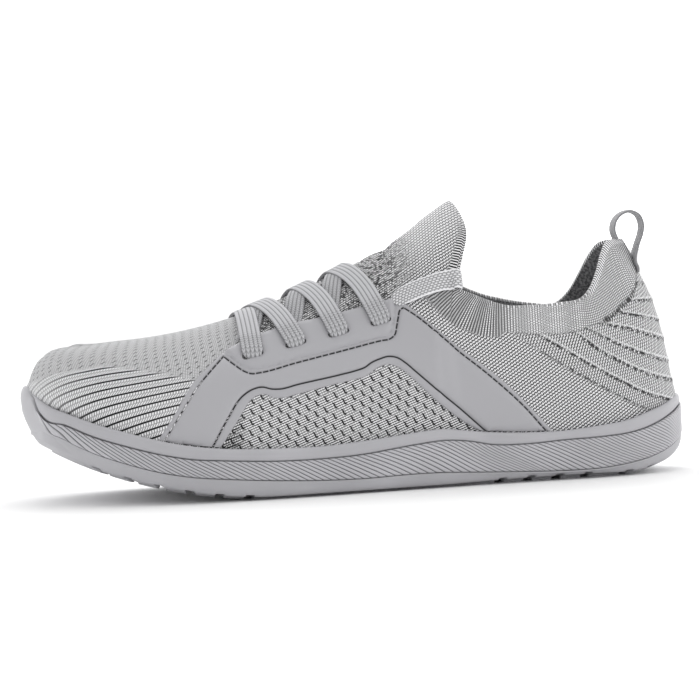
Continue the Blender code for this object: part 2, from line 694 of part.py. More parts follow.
def make_tail(side, word, collection):
    """Lace end: along the knit, folded over the rim beside the tongue, and forward along the lining."""
    outside = columns(TAIL_COLUMNS, TAIL_OUTSIDE)
    inside = columns(TAIL_COLUMNS, TAIL_INSIDE)
    fold = columns(FOLD_COLUMNS, FOLD_ROWS)
    above, rim, below = (upper_point(t, side * 1e-6) for t in TAIL_RIM)
    back = np.array([1.0, 0.0, 0.0])
    out = -side * unit(np.cross(back, above - below))
    runs = []
    for run in (outside, inside):
        lift = (rim[2] - run["z"][0 if run is inside else -1]) * np.clip((run["x"] - 21.5) / 15.5, 0, 1)
        runs.append(side_view(run["x"], run["z"] + lift, side))
    near, far = TAIL_CLEAR, -KNIT_WALL - 2.5 * TAIL_CLEAR
    centre = np.concatenate([
        upper_offset(*runs[0], np.full(len(TAIL_OUTSIDE), near)),
        rim + np.outer(fold["past_rim"], back) + np.outer(fold["away"], out),
        upper_offset(*runs[1], np.full(len(TAIL_INSIDE), far)),
    ])
    normal = unit(np.concatenate([
        upper_normal(*runs[0]),
        np.outer(fold["faces_out"], out) + np.outer(fold["faces_back"], back),
        -upper_normal(*runs[1]),
    ]))
    along = unit(np.gradient(centre, axis=0))
    sideways = unit(np.cross(normal, along))
    return strip(f"lace_tail_{word}", centre, sideways, TAIL_WIDTH, TAIL_THICKNESS, "cord", collection, normal)


def make_loop(collection):
    """Webbing loop from the top of the heel tab, over and down to the heel seam."""
    line = columns(LOOP_COLUMNS, LOOP_ROWS)
    free = np.stack([line["x"], np.full(len(LOOP_ROWS), UPPER["y"][-1]), line["z"]], -1)
    seam = upper_point(np.ones(len(LOOP_SEAM_W)), np.array(LOOP_SEAM_W))
    seam[:, 0] += 1.1 * (GAP + LOOP_THICKNESS / 2)
    centre = np.concatenate([free, seam])
    along = unit(np.gradient(centre, axis=0))
    sideways = np.tile([0.0, 1.0, 0.0], (len(centre), 1))
    outward = np.cross(sideways, along)
    return strip("pull_loop", centre - outward * LOOP_THICKNESS / 2, sideways, LOOP_WIDTH, LOOP_THICKNESS,
                 "webbing", collection, outward)


def main():
    for old in list(bpy.data.objects):
        bpy.data.objects.remove(old)
    parts = bpy.data.collections.new("knit_sneaker")
    cutters = bpy.data.collections.new("cutters")
    bpy.context.scene.collection.children.link(parts)
    bpy.context.scene.collection.children.link(cutters)
    make_outsole(parts)
    make_band(parts)
    make_midsole(parts)
    make_insole(parts)
    make_upper(parts)
    make_films(parts, cutters)
    make_lace(parts, cutters)
    for side, word in ((-1, "lateral"), (1, "medial")):
        make_tail(side, word, parts)
    make_loop(parts)


if __name__ == "__main__":
    main()
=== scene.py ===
# %% [markdown]
# # A knit sneaker
# This lesson dresses the packed solids of a low knit shoe for a left foot. The toe points to -X, the heel
# to +X, the outer side of the foot to -Y. Sizes in the tables are millimetres; meshes are in metres.

# %% Load the frame
import math

import bmesh
import bpy
import numpy as np
from mathutils import Matrix, Vector
from mathutils.geometry import delaunay_2d_cdt
from mathutils.kdtree import KDTree


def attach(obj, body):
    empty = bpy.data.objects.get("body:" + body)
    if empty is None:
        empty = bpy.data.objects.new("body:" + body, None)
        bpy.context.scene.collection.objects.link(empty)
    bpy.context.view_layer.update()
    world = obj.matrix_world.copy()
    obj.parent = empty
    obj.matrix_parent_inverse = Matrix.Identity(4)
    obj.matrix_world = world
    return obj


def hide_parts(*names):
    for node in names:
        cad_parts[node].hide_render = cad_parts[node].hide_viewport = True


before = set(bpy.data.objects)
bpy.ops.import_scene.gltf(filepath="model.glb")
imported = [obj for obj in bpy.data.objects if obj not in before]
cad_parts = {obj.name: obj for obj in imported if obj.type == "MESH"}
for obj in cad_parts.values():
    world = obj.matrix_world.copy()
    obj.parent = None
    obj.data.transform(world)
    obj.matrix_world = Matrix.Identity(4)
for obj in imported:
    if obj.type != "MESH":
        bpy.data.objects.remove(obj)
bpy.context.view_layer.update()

MM = 0.001

# %% [markdown]
# ## The camera
# The photograph was taken from the outer side with a long lens, a little towards the toe and almost at
# floor height, and it is turned by a few degrees so that the heel stands higher. A camera matrix made
# from the three directions right, up and back keeps that turn in one place.

# %% Camera
AZIMUTH, ELEVATION, ROLL = math.radians(-9.0), math.radians(2.0), math.radians(-2.5)
DISTANCE = 1250.0
FOCUS = np.array([0.0, 1.4, 57.0])
PIXELS_PER_MM = 2.447
FOCUS_PIXEL = (355.8, 345.5)
IMAGE_SIDE, SENSOR = 700.0, 36.0

back = np.array([
    math.sin(AZIMUTH) * math.cos(ELEVATION), -math.cos(AZIMUTH) * math.cos(ELEVATION), math.sin(ELEVATION)
])
level = np.array([math.cos(AZIMUTH), math.sin(AZIMUTH), 0.0])
upright = np.cross(back, level)
right = math.cos(ROLL) * level + math.sin(ROLL) * upright
up = math.cos(ROLL) * upright - math.sin(ROLL) * level
lens = bpy.data.cameras.new("camera")
lens.sensor_width = SENSOR
lens.lens = SENSOR * PIXELS_PER_MM * DISTANCE / IMAGE_SIDE
lens.shift_x = (IMAGE_SIDE / 2 - FOCUS_PIXEL[0]) / IMAGE_SIDE
lens.shift_y = (FOCUS_PIXEL[1] - IMAGE_SIDE / 2) / IMAGE_SIDE
lens.clip_start, lens.clip_end = 0.05, 50.0
camera = bpy.data.objects.new("camera", lens)
place = Matrix(np.column_stack([right, up, back]).tolist()).to_4x4()
place.translation = Vector((FOCUS + back * DISTANCE) * MM)
camera.matrix_world = place
bpy.context.scene.collection.objects.link(camera)
bpy.context.scene.camera = camera
print("camera lens", round(lens.lens, 1), "mm")

# %% [markdown]
# ## The shape of the shoe
# A shoe is drawn over a last, so a few lines give its form: the sole's outline from above, the heights
# of the sole's edges from the side, and sections of the upper from toe to heel. Curves drawn by hand
# could hold them too. Rows of numbers are easier to measure and to change. They follow the tables of
# the part's source, with small corrections at the toe and the tongue, so that every piece fits the
# packed solids.

# %% Tables
TONGUE_TIP = 0.614
FEATHER_INSET = 4.0
KNIT_WALL = 2.0
OUTLINE_COLUMNS = ("t", "x", "outer_y", "inner_y")
OUTLINE_ROWS = (
    (0.00, -136.0, 10.4, 10.4), (0.04, -133.6, -5.1, 24.9), (0.08, -127.6, -18.6, 35.9),
    (0.13, -116.0, -31.6, 43.9), (0.19, -99.6, -42.1, 48.6), (0.27, -76.0, -48.8, 50.2),
    (0.36, -48.0, -50.2, 46.6), (0.46, -17.0, -46.6, 40.0), (0.56, 13.5, -41.6, 36.0),
    (0.66, 43.5, -37.4, 34.6), (0.76, 73.5, -34.6, 34.6), (0.84, 97.5, -32.2, 33.6),
    (0.90, 115.0, -27.0, 29.4), (0.95, 127.8, -17.8, 20.6), (0.98, 134.0, -7.6, 10.4),
    (1.00, 136.0, 1.4, 1.4),
)
SIDE_COLUMNS = ("x", "part", "rib_top", "lip")
SIDE_ROWS = (
    (-136.0, 47.2, 46.2, 45.6), (-135.3, 45.9, 45.2, 44.9), (-134.6, 43.9, 44.0, 44.1),
    (-133.4, 41.7, 42.5, 43.3), (-132.4, 38.4, 39.8, 42.3), (-131.4, 35.4, 37.3, 41.3),
    (-130.0, 32.4, 35.2, 40.2), (-122.0, 26.4, 32.1, 36.5), (-112.0, 21.2, 27.6, 32.6),
    (-100.0, 16.8, 23.6, 28.9), (-88.0, 13.2, 20.2, 25.5), (-75.0, 10.6, 17.5, 22.7),
    (-60.0, 9.0, 16.2, 20.9), (-40.0, 7.4, 15.0, 20.0), (-20.0, 6.3, 14.9, 19.8),
    (-5.0, 6.0, 15.6, 20.8), (8.0, 6.3, 17.1, 21.9), (18.0, 6.4, 18.2, 22.9), (28.0, 6.2, 18.9, 23.5),
    (38.0, 5.6, 18.0, 22.2), (48.0, 5.1, 16.0, 21.0), (62.0, 4.4, 15.5, 20.1), (78.0, 3.9, 16.2, 19.9),
    (94.0, 4.1, 16.6, 21.2), (106.0, 5.4, 17.5, 22.6), (116.0, 7.3, 19.7, 25.3),
    (126.0, 10.8, 23.6, 28.1), (136.0, 16.0, 28.0, 31.0),
)
UPPER_COLUMNS = ("t", "x", "y", "half", "z", "inner_lift", "rise", "spread", "drop", "lean")
UPPER_ROWS = (
    (0.0000, -112.0, 8.4, 0.0, 62.9, 0.0, 0.860, 0.90, 0.00, 0.0),
    (0.0600, -105.0, 7.9, 0.0, 62.8, 0.0, 0.800, 0.82, 0.00, 0.0),
    (0.1200, -96.0, 7.4, 0.0, 63.4, 0.0, 0.720, 0.74, 0.00, 0.0),
    (0.2000, -82.0, 6.4, 0.0, 64.5, 0.0, 0.620, 0.64, 0.00, 0.0),
    (0.2800, -64.5, 5.4, 0.0, 67.3, 0.0, 0.560, 0.58, 0.00, 0.0),
    (0.3600, -45.0, 4.4, 0.0, 72.3, 0.0, 0.520, 0.54, 0.02, 0.0),
    (0.4400, -24.0, 3.9, 0.0, 79.7, 0.0, 0.490, 0.50, 0.03, 0.0),
    (0.5100, -3.5, 3.4, 0.0, 88.2, 0.0, 0.460, 0.50, 0.04, 0.0),
    (0.5550, 11.5, 3.4, 0.0, 95.2, 0.0, 0.440, 0.50, 0.05, 0.0),
    (0.5850, 24.0, 3.4, 0.0, 103.0, 0.0, 0.420, 0.51, 0.05, -0.6),
    (0.6030, 34.0, 3.4, 0.0, 110.3, 0.0, 0.410, 0.51, 0.05, -2.4),
    (TONGUE_TIP, 42.2, 3.4, 0.0, 114.4, 0.0, 0.400, 0.54, 0.06, -6.0),
    (0.6225, 44.7, 3.0, 7.6, 109.5, 0.0, 0.400, 0.43, 0.10, -9.0),
    (0.6315, 45.5, 2.2, 14.3, 101.5, 0.0, 0.400, 0.38, 0.14, -11.0),
    (0.6405, 42.0, 1.4, 19.2, 92.5, 1.0, 0.400, 0.32, 0.18, -10.0),
    (0.6510, 38.2, 0.8, 21.9, 83.0, 3.0, 0.410, 0.23, 0.24, -6.5),
    (0.6600, 39.6, 0.9, 23.9, 79.0, 4.2, 0.415, 0.18, 0.26, -5.0),
    (0.6720, 43.5, 1.1, 25.5, 76.9, 5.0, 0.420, 0.14, 0.28, -3.8),
    (0.6920, 53.0, 1.3, 27.3, 72.7, 4.8, 0.430, 0.10, 0.30, -1.5),
    (0.7400, 67.0, 1.1, 27.7, 70.9, 2.0, 0.450, 0.10, 0.30, 0.0),
    (0.7850, 80.0, 1.0, 27.0, 71.4, -1.0, 0.450, 0.12, 0.30, 0.0),
    (0.8250, 89.0, 1.0, 25.1, 72.7, -2.8, 0.460, 0.20, 0.29, 0.0),
    (0.8600, 94.4, 1.2, 21.9, 77.2, -2.6, 0.460, 0.30, 0.27, 0.0),
    (0.8950, 98.4, 1.6, 17.6, 83.9, -2.0, 0.460, 0.40, 0.25, 0.0),
    (0.9300, 101.6, 1.4, 12.4, 90.6, -1.0, 0.450, 0.50, 0.24, 0.0),
    (0.9650, 105.4, 1.4, 7.4, 95.4, -0.3, 0.440, 0.56, 0.23, 0.0),
    (1.0000, 113.0, 1.4, 0.0, 96.2, 0.0, 0.430, 0.60, 0.23, 0.0),
)


def columns(names, rows):
    """Named columns of a table, as arrays."""
    return dict(zip(names, np.array(rows, float).T))


OUTLINE = columns(OUTLINE_COLUMNS, OUTLINE_ROWS)
SIDE = columns(SIDE_COLUMNS, SIDE_ROWS)
UPPER = columns(UPPER_COLUMNS, UPPER_ROWS)
print("rows:", len(OUTLINE_ROWS), "outline,", len(SIDE_ROWS), "side,", len(UPPER_ROWS), "upper")

# %% [markdown]
# ## Curves through the rows
# Between two rows of a table the form runs on smoothly, as a last does between two of its sections. A
# spline object could draw that. A short formula for a cubic gives the same curve to every piece, at any
# place.

# %% Curves through the rows


def smooth(knots, values, at, first=None, last=None):
    """Cubic curve through the rows of a table; a row's slope comes from its neighbours."""
    at = np.asarray(at, float)
    span = np.diff(knots)
    chord = np.diff(values) / span
    slope = np.empty(len(knots))
    slope[1:-1] = (chord[:-1] * span[1:] + chord[1:] * span[:-1]) / (span[:-1] + span[1:])
    slope[0] = chord[0] if first is None else first
    slope[-1] = chord[-1] if last is None else last
    row = np.clip(np.searchsorted(knots, at, side="right") - 1, 0, len(span) - 1)
    step = span[row]
    s = (at - knots[row]) / step
    return (
        (1 + 2 * s) * (1 - s) ** 2 * values[row]
        + s * (1 - s) ** 2 * step * slope[row]
        + s * s * (3 - 2 * s) * values[row + 1]
        + s * s * (s - 1) * step * slope[row + 1]
    )


def unit(vectors):
    return vectors / np.maximum(np.linalg.norm(vectors, axis=-1, keepdims=True), 1e-12)


def ease(value, low, high):
    """Smooth step from 0 at low to 1 at high."""
    s = np.clip((value - low) / (high - low), 0, 1)
    return s * s * (3 - 2 * s)


halfway = smooth(np.arange(3.0), np.array([0.0, 1.0, 0.0]), 0.5)
print("curve through 0, 1, 0 half way to the top:", float(halfway))

# %% [markdown]
# ## Outline of the sole
# Seen from above, the sole bows out at the ball and narrows at the waist. Toe and heel turn without a
# corner, so the slopes at both ends are given. Moved inwards, the same line serves every other edge of
# the sole.

# %% Outline of the sole


def outline(t, side):
    """Outermost line of the sole; side is -1 for the outer and 1 for the inner side of the foot."""
    knots = OUTLINE["t"]
    mine, other = OUTLINE["outer_y"], OUTLINE["inner_y"]
    if side > 0:
        mine, other = other, mine
    first = (mine[1] - other[1]) / (2 * knots[1])
    last = (other[-2] - mine[-2]) / (2 * (1 - knots[-2]))
    return smooth(knots, OUTLINE["x"], t, 0.0, 0.0), smooth(knots, mine, t, first, last)


def inset_outline(t, side, inset):
    """The outline moved inwards, as x and y."""
    nudge = 1e-4
    before_x, before_y = outline(np.clip(t - nudge, 0, 1), side)
    after_x, after_y = outline(np.clip(t + nudge, 0, 1), side)
    along_x = np.where((t <= 0) | (t >= 1), 0.0, after_x - before_x)
    along_y = after_y - before_y
    length = np.hypot(along_x, along_y)
    x, y = outline(t, side)
    return x + side * inset * along_y / length, y - side * inset * along_x / length


print("ball width", round(float(outline(0.36, 1)[1] - outline(0.36, -1)[1]), 1), "mm")

# %% [markdown]
# ## Heights of the sole
# The sole lifts off the ground under the toe, and a little at the heel, so that the foot can roll. Each
# lift grows as a power of the distance from where it starts. The footbed and the hidden joint between
# outsole and cup follow the same lifts.

# %% Heights of the sole
TOE_SPRING, TOE_SPRING_FROM, TOE_SPRING_REACH = 25.0, -40.0, 96.0
HEEL_SPRING, HEEL_SPRING_FROM, HEEL_SPRING_REACH = 10.0, 95.0, 41.0
BED_HEIGHT, BED_HEEL_SHARE = 7.0, 0.55
JOINT_HEIGHT, JOINT_HEEL_SHARE = 3.6, 0.75


def toe_rise(x):
    return TOE_SPRING * (np.clip(TOE_SPRING_FROM - x, 0, None) / TOE_SPRING_REACH) ** 2


def heel_rise(x):
    return HEEL_SPRING * (np.clip(x - HEEL_SPRING_FROM, 0, None) / HEEL_SPRING_REACH) ** 2.6


def ground(x):
    return toe_rise(x) + heel_rise(x)


def bed(x):
    return BED_HEIGHT + toe_rise(x) + BED_HEEL_SHARE * heel_rise(x)


def hidden_joint(x):
    return JOINT_HEIGHT + toe_rise(x) + JOINT_HEEL_SHARE * heel_rise(x)


def side_height(name, x):
    return smooth(SIDE["x"], SIDE[name], x)


print("toe lifts", round(float(toe_rise(OUTLINE["x"][0])), 1), "mm")

# %% [markdown]
# ## Surface of the upper
# Each section of the upper is a curve from the foot of the knit up to the top line, with two handles
# that set how upright it starts and how far it leans. Surfaces lofted in the editor would do the same,
# but a formula can be asked for any place on it and for its outward direction there.

# %% Surface of the upper
GAP, LOWER_LEAN = 0.3, 0.8


def upper_point(t, w):
    """Outer face of the upper: t from toe to heel, w from -1 at the outer foot by 0 at the top to 1."""
    t, w = np.broadcast_arrays(np.asarray(t, float), np.asarray(w, float))
    side = np.where(w < 0, -1.0, 1.0)
    outer_foot = np.stack(inset_outline(t, -1, FEATHER_INSET))
    inner_foot = np.stack(inset_outline(t, 1, FEATHER_INSET))
    foot_x, foot_y = np.where(side < 0, outer_foot, inner_foot)
    foot = np.stack([foot_x, foot_y, bed(foot_x) + GAP], -1)
    row = {name: smooth(UPPER["t"], UPPER[name], t) for name in UPPER_COLUMNS}
    opening = (t > TONGUE_TIP) & (t < 1.0)
    half = np.where(opening, np.clip(row["half"], 0, None), 0.0)
    lift = np.where(opening & (side > 0), row["inner_lift"], 0.0)
    top = np.stack([row["x"], row["y"] + side * half, row["z"] + lift], -1)
    across = (foot - top) * np.array([1.0, 1.0, 0.0])
    height = (top - foot) * np.array([0.0, 0.0, 1.0])
    lean = row["lean"][..., None] * np.array([1.0, 0.0, 0.0])
    first = foot + height * row["rise"][..., None] + LOWER_LEAN * lean
    second = top + across * row["spread"][..., None] - height * row["drop"][..., None] + lean
    v = (1 - np.abs(w))[..., None]
    return (
        (1 - v) ** 3 * foot
        + 3 * v * (1 - v) ** 2 * first
        + 3 * v * v * (1 - v) * second
        + v ** 3 * top
    )


def upper_normal(t, w):
    """Outward normal of the upper, one-sided at the rim of the opening and upright at the toe's top point."""
    t, w = np.broadcast_arrays(np.asarray(t, float), np.asarray(w, float))
    nudge = 1e-3
    low, high = np.maximum(w - nudge, -1), np.minimum(w + nudge, 1)
    rim = t > TONGUE_TIP
    high = np.where(rim & (w < 0), np.minimum(high, -1e-6), high)
    low = np.where(rim & (w >= 0), np.maximum(low, 1e-6), low)
    across = upper_point(t, high) - upper_point(t, low)
    along = upper_point(np.clip(t + nudge, 0, 1), w) - upper_point(np.clip(t - nudge, 0, 1), w)
    facing = np.cross(along, across)
    facing[..., 1] = np.where((t <= 0) | (t >= 1), 0.0, facing[..., 1])
    share = np.where(t < 0.02, np.clip(np.abs(w) / 0.06, 0, 1), 1.0)[..., None]
    return unit(share * unit(facing) + (1 - share) * np.array([0.0, 0.0, 1.0]))


print("tongue tip at", upper_point(TONGUE_TIP, 0.0).round(1).tolist())

# %% [markdown]
# ## Plain finishes
# Every finish starts from the one standard surface shader, with a colour, a roughness and a strength of
# shine. Values that do not vary are set on its sockets; patterns are linked to it later.

# %% Plain finishes


def shader(name):
    """New material with its node tree, its output shader and a place for formulas."""
    made = bpy.data.materials.new(name)
    made.use_nodes = True
    return made, made.node_tree, made.node_tree.nodes["Principled BSDF"]


def plain_finish(surface, colour, roughness, specular=0.5, sheen=0.0):
    surface.inputs["Base Color"].default_value = (*colour, 1.0)
    surface.inputs["Roughness"].default_value = roughness
    surface.inputs["Specular IOR Level"].default_value = specular
    surface.inputs["Sheen Weight"].default_value = sheen


print("plain finishes ready")

# %% [markdown]
# ## Floor
# The shoe stands on a wide pale table. One flat grid is enough; it is not part of the object.

# %% Floor
FLOOR_HALF = 12.0
floor_shape = bmesh.new()
bmesh.ops.create_grid(floor_shape, x_segments=4, y_segments=4, size=FLOOR_HALF)
floor_mesh = bpy.data.meshes.new("floor")
floor_shape.to_mesh(floor_mesh)
floor_shape.free()
floor = bpy.data.objects.new("floor", floor_mesh)
bpy.context.scene.collection.objects.link(floor)
floor_material, _, floor_surface = shader("floor_white")
plain_finish(floor_surface, (0.95, 0.95, 0.95), 0.9, 0.2)
floor_mesh.materials.append(floor_material)
print("floor", 2 * FLOOR_HALF, "m wide")

# %% [markdown]
# ## Sky
# The light is soft and comes from everywhere. A sky that is brighter at the horizon than overhead gives
# that. It also leans: it is stronger from behind the shoe and from the heel, so that the side that
# shows and the toe keep their middle greys. A flat sky would wash both out.

# %% Sky
SKY_HORIZON, SKY_TOP = 1.65, 0.8
SKY_LEANS = (("X", 0.35), ("Y", 0.55))
sky = bpy.data.worlds.new("sky")
sky.use_nodes = True
sky_nodes, sky_links = sky.node_tree.nodes, sky.node_tree.links
sky_nodes["Background"].inputs["Color"].default_value = (1.0, 1.0, 1.0, 1.0)
look = sky_nodes.new("ShaderNodeTexCoord")
look_split = sky_nodes.new("ShaderNodeSeparateXYZ")
sky_fade = sky_nodes.new("ShaderNodeMapRange")
sky_fade.inputs["To Min"].default_value = SKY_HORIZON
sky_fade.inputs["To Max"].default_value = SKY_TOP
sky_links.new(look.outputs["Generated"], look_split.inputs[0])
sky_links.new(look_split.outputs["Z"], sky_fade.inputs["Value"])
strength = sky_fade.outputs["Result"]
for axis, lean in SKY_LEANS:
    sky_lean = sky_nodes.new("ShaderNodeMath")
    sky_lean.operation, sky_lean.inputs[1].default_value = "MULTIPLY_ADD", lean
    sky_links.new(look_split.outputs[axis], sky_lean.inputs[0])
    sky_links.new(strength, sky_lean.inputs[2])
    strength = sky_lean.outputs[0]
sky_links.new(strength, sky_nodes["Background"].inputs["Strength"])
bpy.context.scene.world = sky
bpy.context.scene.view_settings.view_transform = "Standard"
print("sky nodes:", len(sky_nodes))

# %% [markdown]
# ## Lamps
# Three large soft lamps add the direction that the sky lacks: one overhead, a stronger one behind that
# lights the rim of the shoe and throws its shadow forward, and a weak one from the front left.

# %% Lamps
LAMP_ROWS = (
    ("overhead", (-0.05, 0.10, 1.30), (0.0, 0.0, 0.05), 1.0, 1.5),
    ("behind", (0.10, 0.95, 0.95), (0.0, 0.0, 0.03), 0.8, 4.0),
    ("front_left", (-0.90, -1.10, 0.85), (0.0, 0.0, 0.05), 0.6, 0.5),
)
for name, where, aim, size, power in LAMP_ROWS:
    lamp = bpy.data.lights.new(name, "AREA")
    lamp.shape, lamp.size, lamp.energy = "SQUARE", size, power
    holder = bpy.data.objects.new(name, lamp)
    holder.location = where
    holder.rotation_euler = (Vector(aim) - Vector(where)).to_track_quat("-Z", "Y").to_euler()
    bpy.context.scene.collection.objects.link(holder)
print("lamps:", len(LAMP_ROWS))

# %% [markdown]
# ## Tools for pieces
# A piece often starts as a flat grid whose points are then laid on a surface. The helpers below add such
# a grid to a bmesh, carry named values per point for the finishes, and hand the piece to the frame.

# %% Grid and piece helpers


def patch(shape, points, values=None):
    """Adds a grid and moves its points (rows by columns, in millimetres); values become point layers."""
    rows, across = points.shape[:2]
    layers = shape.verts.layers.float
    for name in values or {}:
        if name not in layers:
            layers.new(name)
    made = bmesh.ops.create_grid(shape, x_segments=across - 1, y_segments=rows - 1, size=1.0)["verts"]
    for vertex, point in zip(made, points.reshape(-1, 3)):
        vertex.co = Vector(point) * MM
    for name, value in (values or {}).items():
        layer = layers[name]
        for vertex, number in zip(made, np.broadcast_to(value, (rows, across)).reshape(-1)):
            vertex[layer] = number
    return made


def weld(shape, distance=2e-6):
    bmesh.ops.remove_doubles(shape, verts=shape.verts, dist=distance)
    bmesh.ops.dissolve_degenerate(shape, edges=shape.edges, dist=1e-7)
    bmesh.ops.recalc_face_normals(shape, faces=shape.faces)


def piece(name, shape, material, nodes=(), sharp=None):
    """Makes the object, gives it its finish and its place in the frame."""
    mesh = bpy.data.meshes.new(name)
    shape.to_mesh(mesh)
    shape.free()
    mesh.shade_smooth()
    if sharp:
        mesh.set_sharp_from_angle(angle=math.radians(sharp))
    mesh.materials.append(material)
    made = bpy.data.objects.new(name, mesh)
    bpy.context.scene.collection.objects.link(made)
    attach(made, "root")
    if nodes:
        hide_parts(*nodes)
    mesh.calc_loop_triangles()
    print(name, len(mesh.loop_triangles), "triangles")
    return made


print("grid helpers ready")

# %% [markdown]
# ## Bands
# Laces and webbing are woven flat. A curve with a bevel would make a round cord, so a band is built as
# a grid that is wrapped round a run of points, with round edges, and closed at both ends.

# %% Band helpers
EDGE_ROUND, FACE_ROUND = 0.55, 0.75


def strip_points(centre, sideways, normal, width, thickness, turns=10):
    """Rounded flat band round a run of points: rows go along it, columns round its section."""
    angle = np.linspace(0, 2 * math.pi, 2 * turns + 1)
    flat = np.sign(np.cos(angle)) * np.abs(np.cos(angle)) ** EDGE_ROUND
    thick = np.sign(np.sin(angle)) * np.abs(np.sin(angle)) ** FACE_ROUND
    return (
        centre[:, None]
        + sideways[:, None] * (flat * np.broadcast_to(width, len(centre))[:, None] / 2)[..., None]
        + normal[:, None] * ((1 + thick) * thickness / 2)[None, :, None]
    )


def add_band(shape, centre, sideways, normal, width, thickness, rounded=(0.0, 0.0)):
    """Closed band with round edges; its width shrinks over the rounded lengths at the start and the end.

    Point layers run and side are millimetres along and across.
    """
    run = np.concatenate([[0], np.cumsum(np.linalg.norm(np.diff(centre, axis=0), axis=1))])
    for reach, travel in zip(rounded, (run, run[-1] - run)):
        short = 1 - np.clip(travel / max(reach, 1e-6), 0, 1)
        width = width * (0.35 + 0.65 * np.sqrt(1 - short * short)) if reach else width
    points = strip_points(centre, sideways, normal, width, thickness)
    across = ((points - centre[:, None]) * sideways[:, None]).sum(-1)
    made = patch(shape, points, {"run": run[:, None], "side": across})
    bmesh.ops.remove_doubles(shape, verts=made, dist=2e-6)
    shape.edges.ensure_lookup_table()
    ends = [edge for edge in shape.edges if edge.is_boundary]
    bmesh.ops.holes_fill(shape, edges=ends, sides=0)


def resample(points, count):
    """Points at equal distances along a smooth curve through the given ones."""
    points = np.asarray(points, float)
    run = np.concatenate([[0], np.cumsum(np.linalg.norm(np.diff(points, axis=0), axis=1))])
    fine = np.linspace(0, run[-1], 12 * len(points))
    curve = np.stack([smooth(run, points[:, i], fine) for i in range(points.shape[1])], -1)
    travel = np.concatenate([[0], np.cumsum(np.linalg.norm(np.diff(curve, axis=0), axis=1))])
    at = np.linspace(0, travel[-1], count)
    return np.stack([np.interp(at, travel, curve[:, i]) for i in range(points.shape[1])], -1)


print("band helpers ready")

# %% [markdown]
# ## Formulas in materials
# Knit, weave and stitches are repeating patterns, so their finishes are formulas of a point's own values.
# A small class lets such a formula be written like arithmetic while it lays out Math nodes.

# %% Formula class


class Field:
    """A number that varies over a surface, held by a node socket."""

    def __init__(self, tree, socket):
        self.tree, self.socket = tree, socket

    def math(self, operation, *others):
        node = self.tree.nodes.new("ShaderNodeMath")
        node.operation = operation
        for entry, value in zip(node.inputs, (self, *others)):
            if isinstance(value, Field):
                self.tree.links.new(value.socket, entry)
            else:
                entry.default_value = value
        return Field(self.tree, node.outputs[0])

    def __add__(self, other):
        return self.math("ADD", other)

    def __sub__(self, other):
        return self.math("SUBTRACT", other)

    def __mul__(self, other):
        return self.math("MULTIPLY", other)

    def __rsub__(self, other):
        return (self * -1.0) + other

    __radd__ = __add__
    __rmul__ = __mul__

    def wave(self):
        """0 at whole numbers, 1 half way between them."""
        return (self * (2 * math.pi)).math("COSINE") * -0.5 + 0.5

    def fraction(self):
        return self.math("FRACT")

    def whole(self):
        return self.math("FLOOR")

    def step(self, low, high):
        """Smooth step from 0 at low to 1 at high."""
        node = self.tree.nodes.new("ShaderNodeMapRange")
        node.interpolation_type = "SMOOTHSTEP"
        self.tree.links.new(self.socket, node.inputs["Value"])
        node.inputs["From Min"].default_value, node.inputs["From Max"].default_value = low, high
        return Field(self.tree, node.outputs["Result"])

    def least(self, other):
        return self.math("MINIMUM", other)

    def most(self, other):
        return self.math("MAXIMUM", other)


print("formula words:", [name for name in vars(Field) if not name.startswith("_")])

# %% [markdown]
# ## From formulas to finishes
# A formula starts from what a point knows, its own layers or its place, and ends as a colour or as a
# bump. Soft noise on the place stands for the fuzz of yarn and the grain of rubber.

# %% Finish tools


def value_of(tree, name):
    """A point layer of the piece as a Field."""
    node = tree.nodes.new("ShaderNodeAttribute")
    node.attribute_name = name
    return Field(tree, node.outputs["Fac"])


def place_of(tree):
    """Object coordinates in millimetres as three Fields."""
    coordinates = tree.nodes.new("ShaderNodeTexCoord")
    split = tree.nodes.new("ShaderNodeSeparateXYZ")
    tree.links.new(coordinates.outputs["Object"], split.inputs[0])
    return tuple(Field(tree, split.outputs[axis]) * 1000.0 for axis in "XYZ")


def grain(tree, size, detail=2.0):
    """Soft random variation, as a Field around a half; size in millimetres."""
    coordinates = tree.nodes.new("ShaderNodeTexCoord")
    noise = tree.nodes.new("ShaderNodeTexNoise")
    noise.inputs["Scale"].default_value = 1.0 / (size * MM)
    noise.inputs["Detail"].default_value = detail
    tree.links.new(coordinates.outputs["Object"], noise.inputs["Vector"])
    return Field(tree, noise.outputs["Fac"])


def colour_between(tree, surface, amount, low, high):
    """Base colour that goes from low to high with a Field."""
    mix = tree.nodes.new("ShaderNodeMix")
    mix.data_type = "RGBA"
    tree.links.new(amount.socket, mix.inputs["Factor"])
    mix.inputs["A"].default_value = (*low, 1.0)
    mix.inputs["B"].default_value = (*high, 1.0)
    tree.links.new(mix.outputs["Result"], surface.inputs["Base Color"])


def raised_by(tree, surface, height, depth):
    """Bump from a Field between 0 and 1; depth in millimetres."""
    bump = tree.nodes.new("ShaderNodeBump")
    bump.inputs["Strength"].default_value = 1.0
    bump.inputs["Distance"].default_value = depth * MM
    tree.links.new(height.socket, bump.inputs["Height"])
    tree.links.new(bump.outputs["Normal"], surface.inputs["Normal"])


print("formula tools ready")

# %% [markdown]
# ## Lace finishes
# The laces are flat and woven: lengthwise ridges on the strands that cross, slanting picks near their
# ends, and staggered light dots on the two free ends. The weave is far too fine for geometry, so it is
# a formula of the millimetres along and across the band.

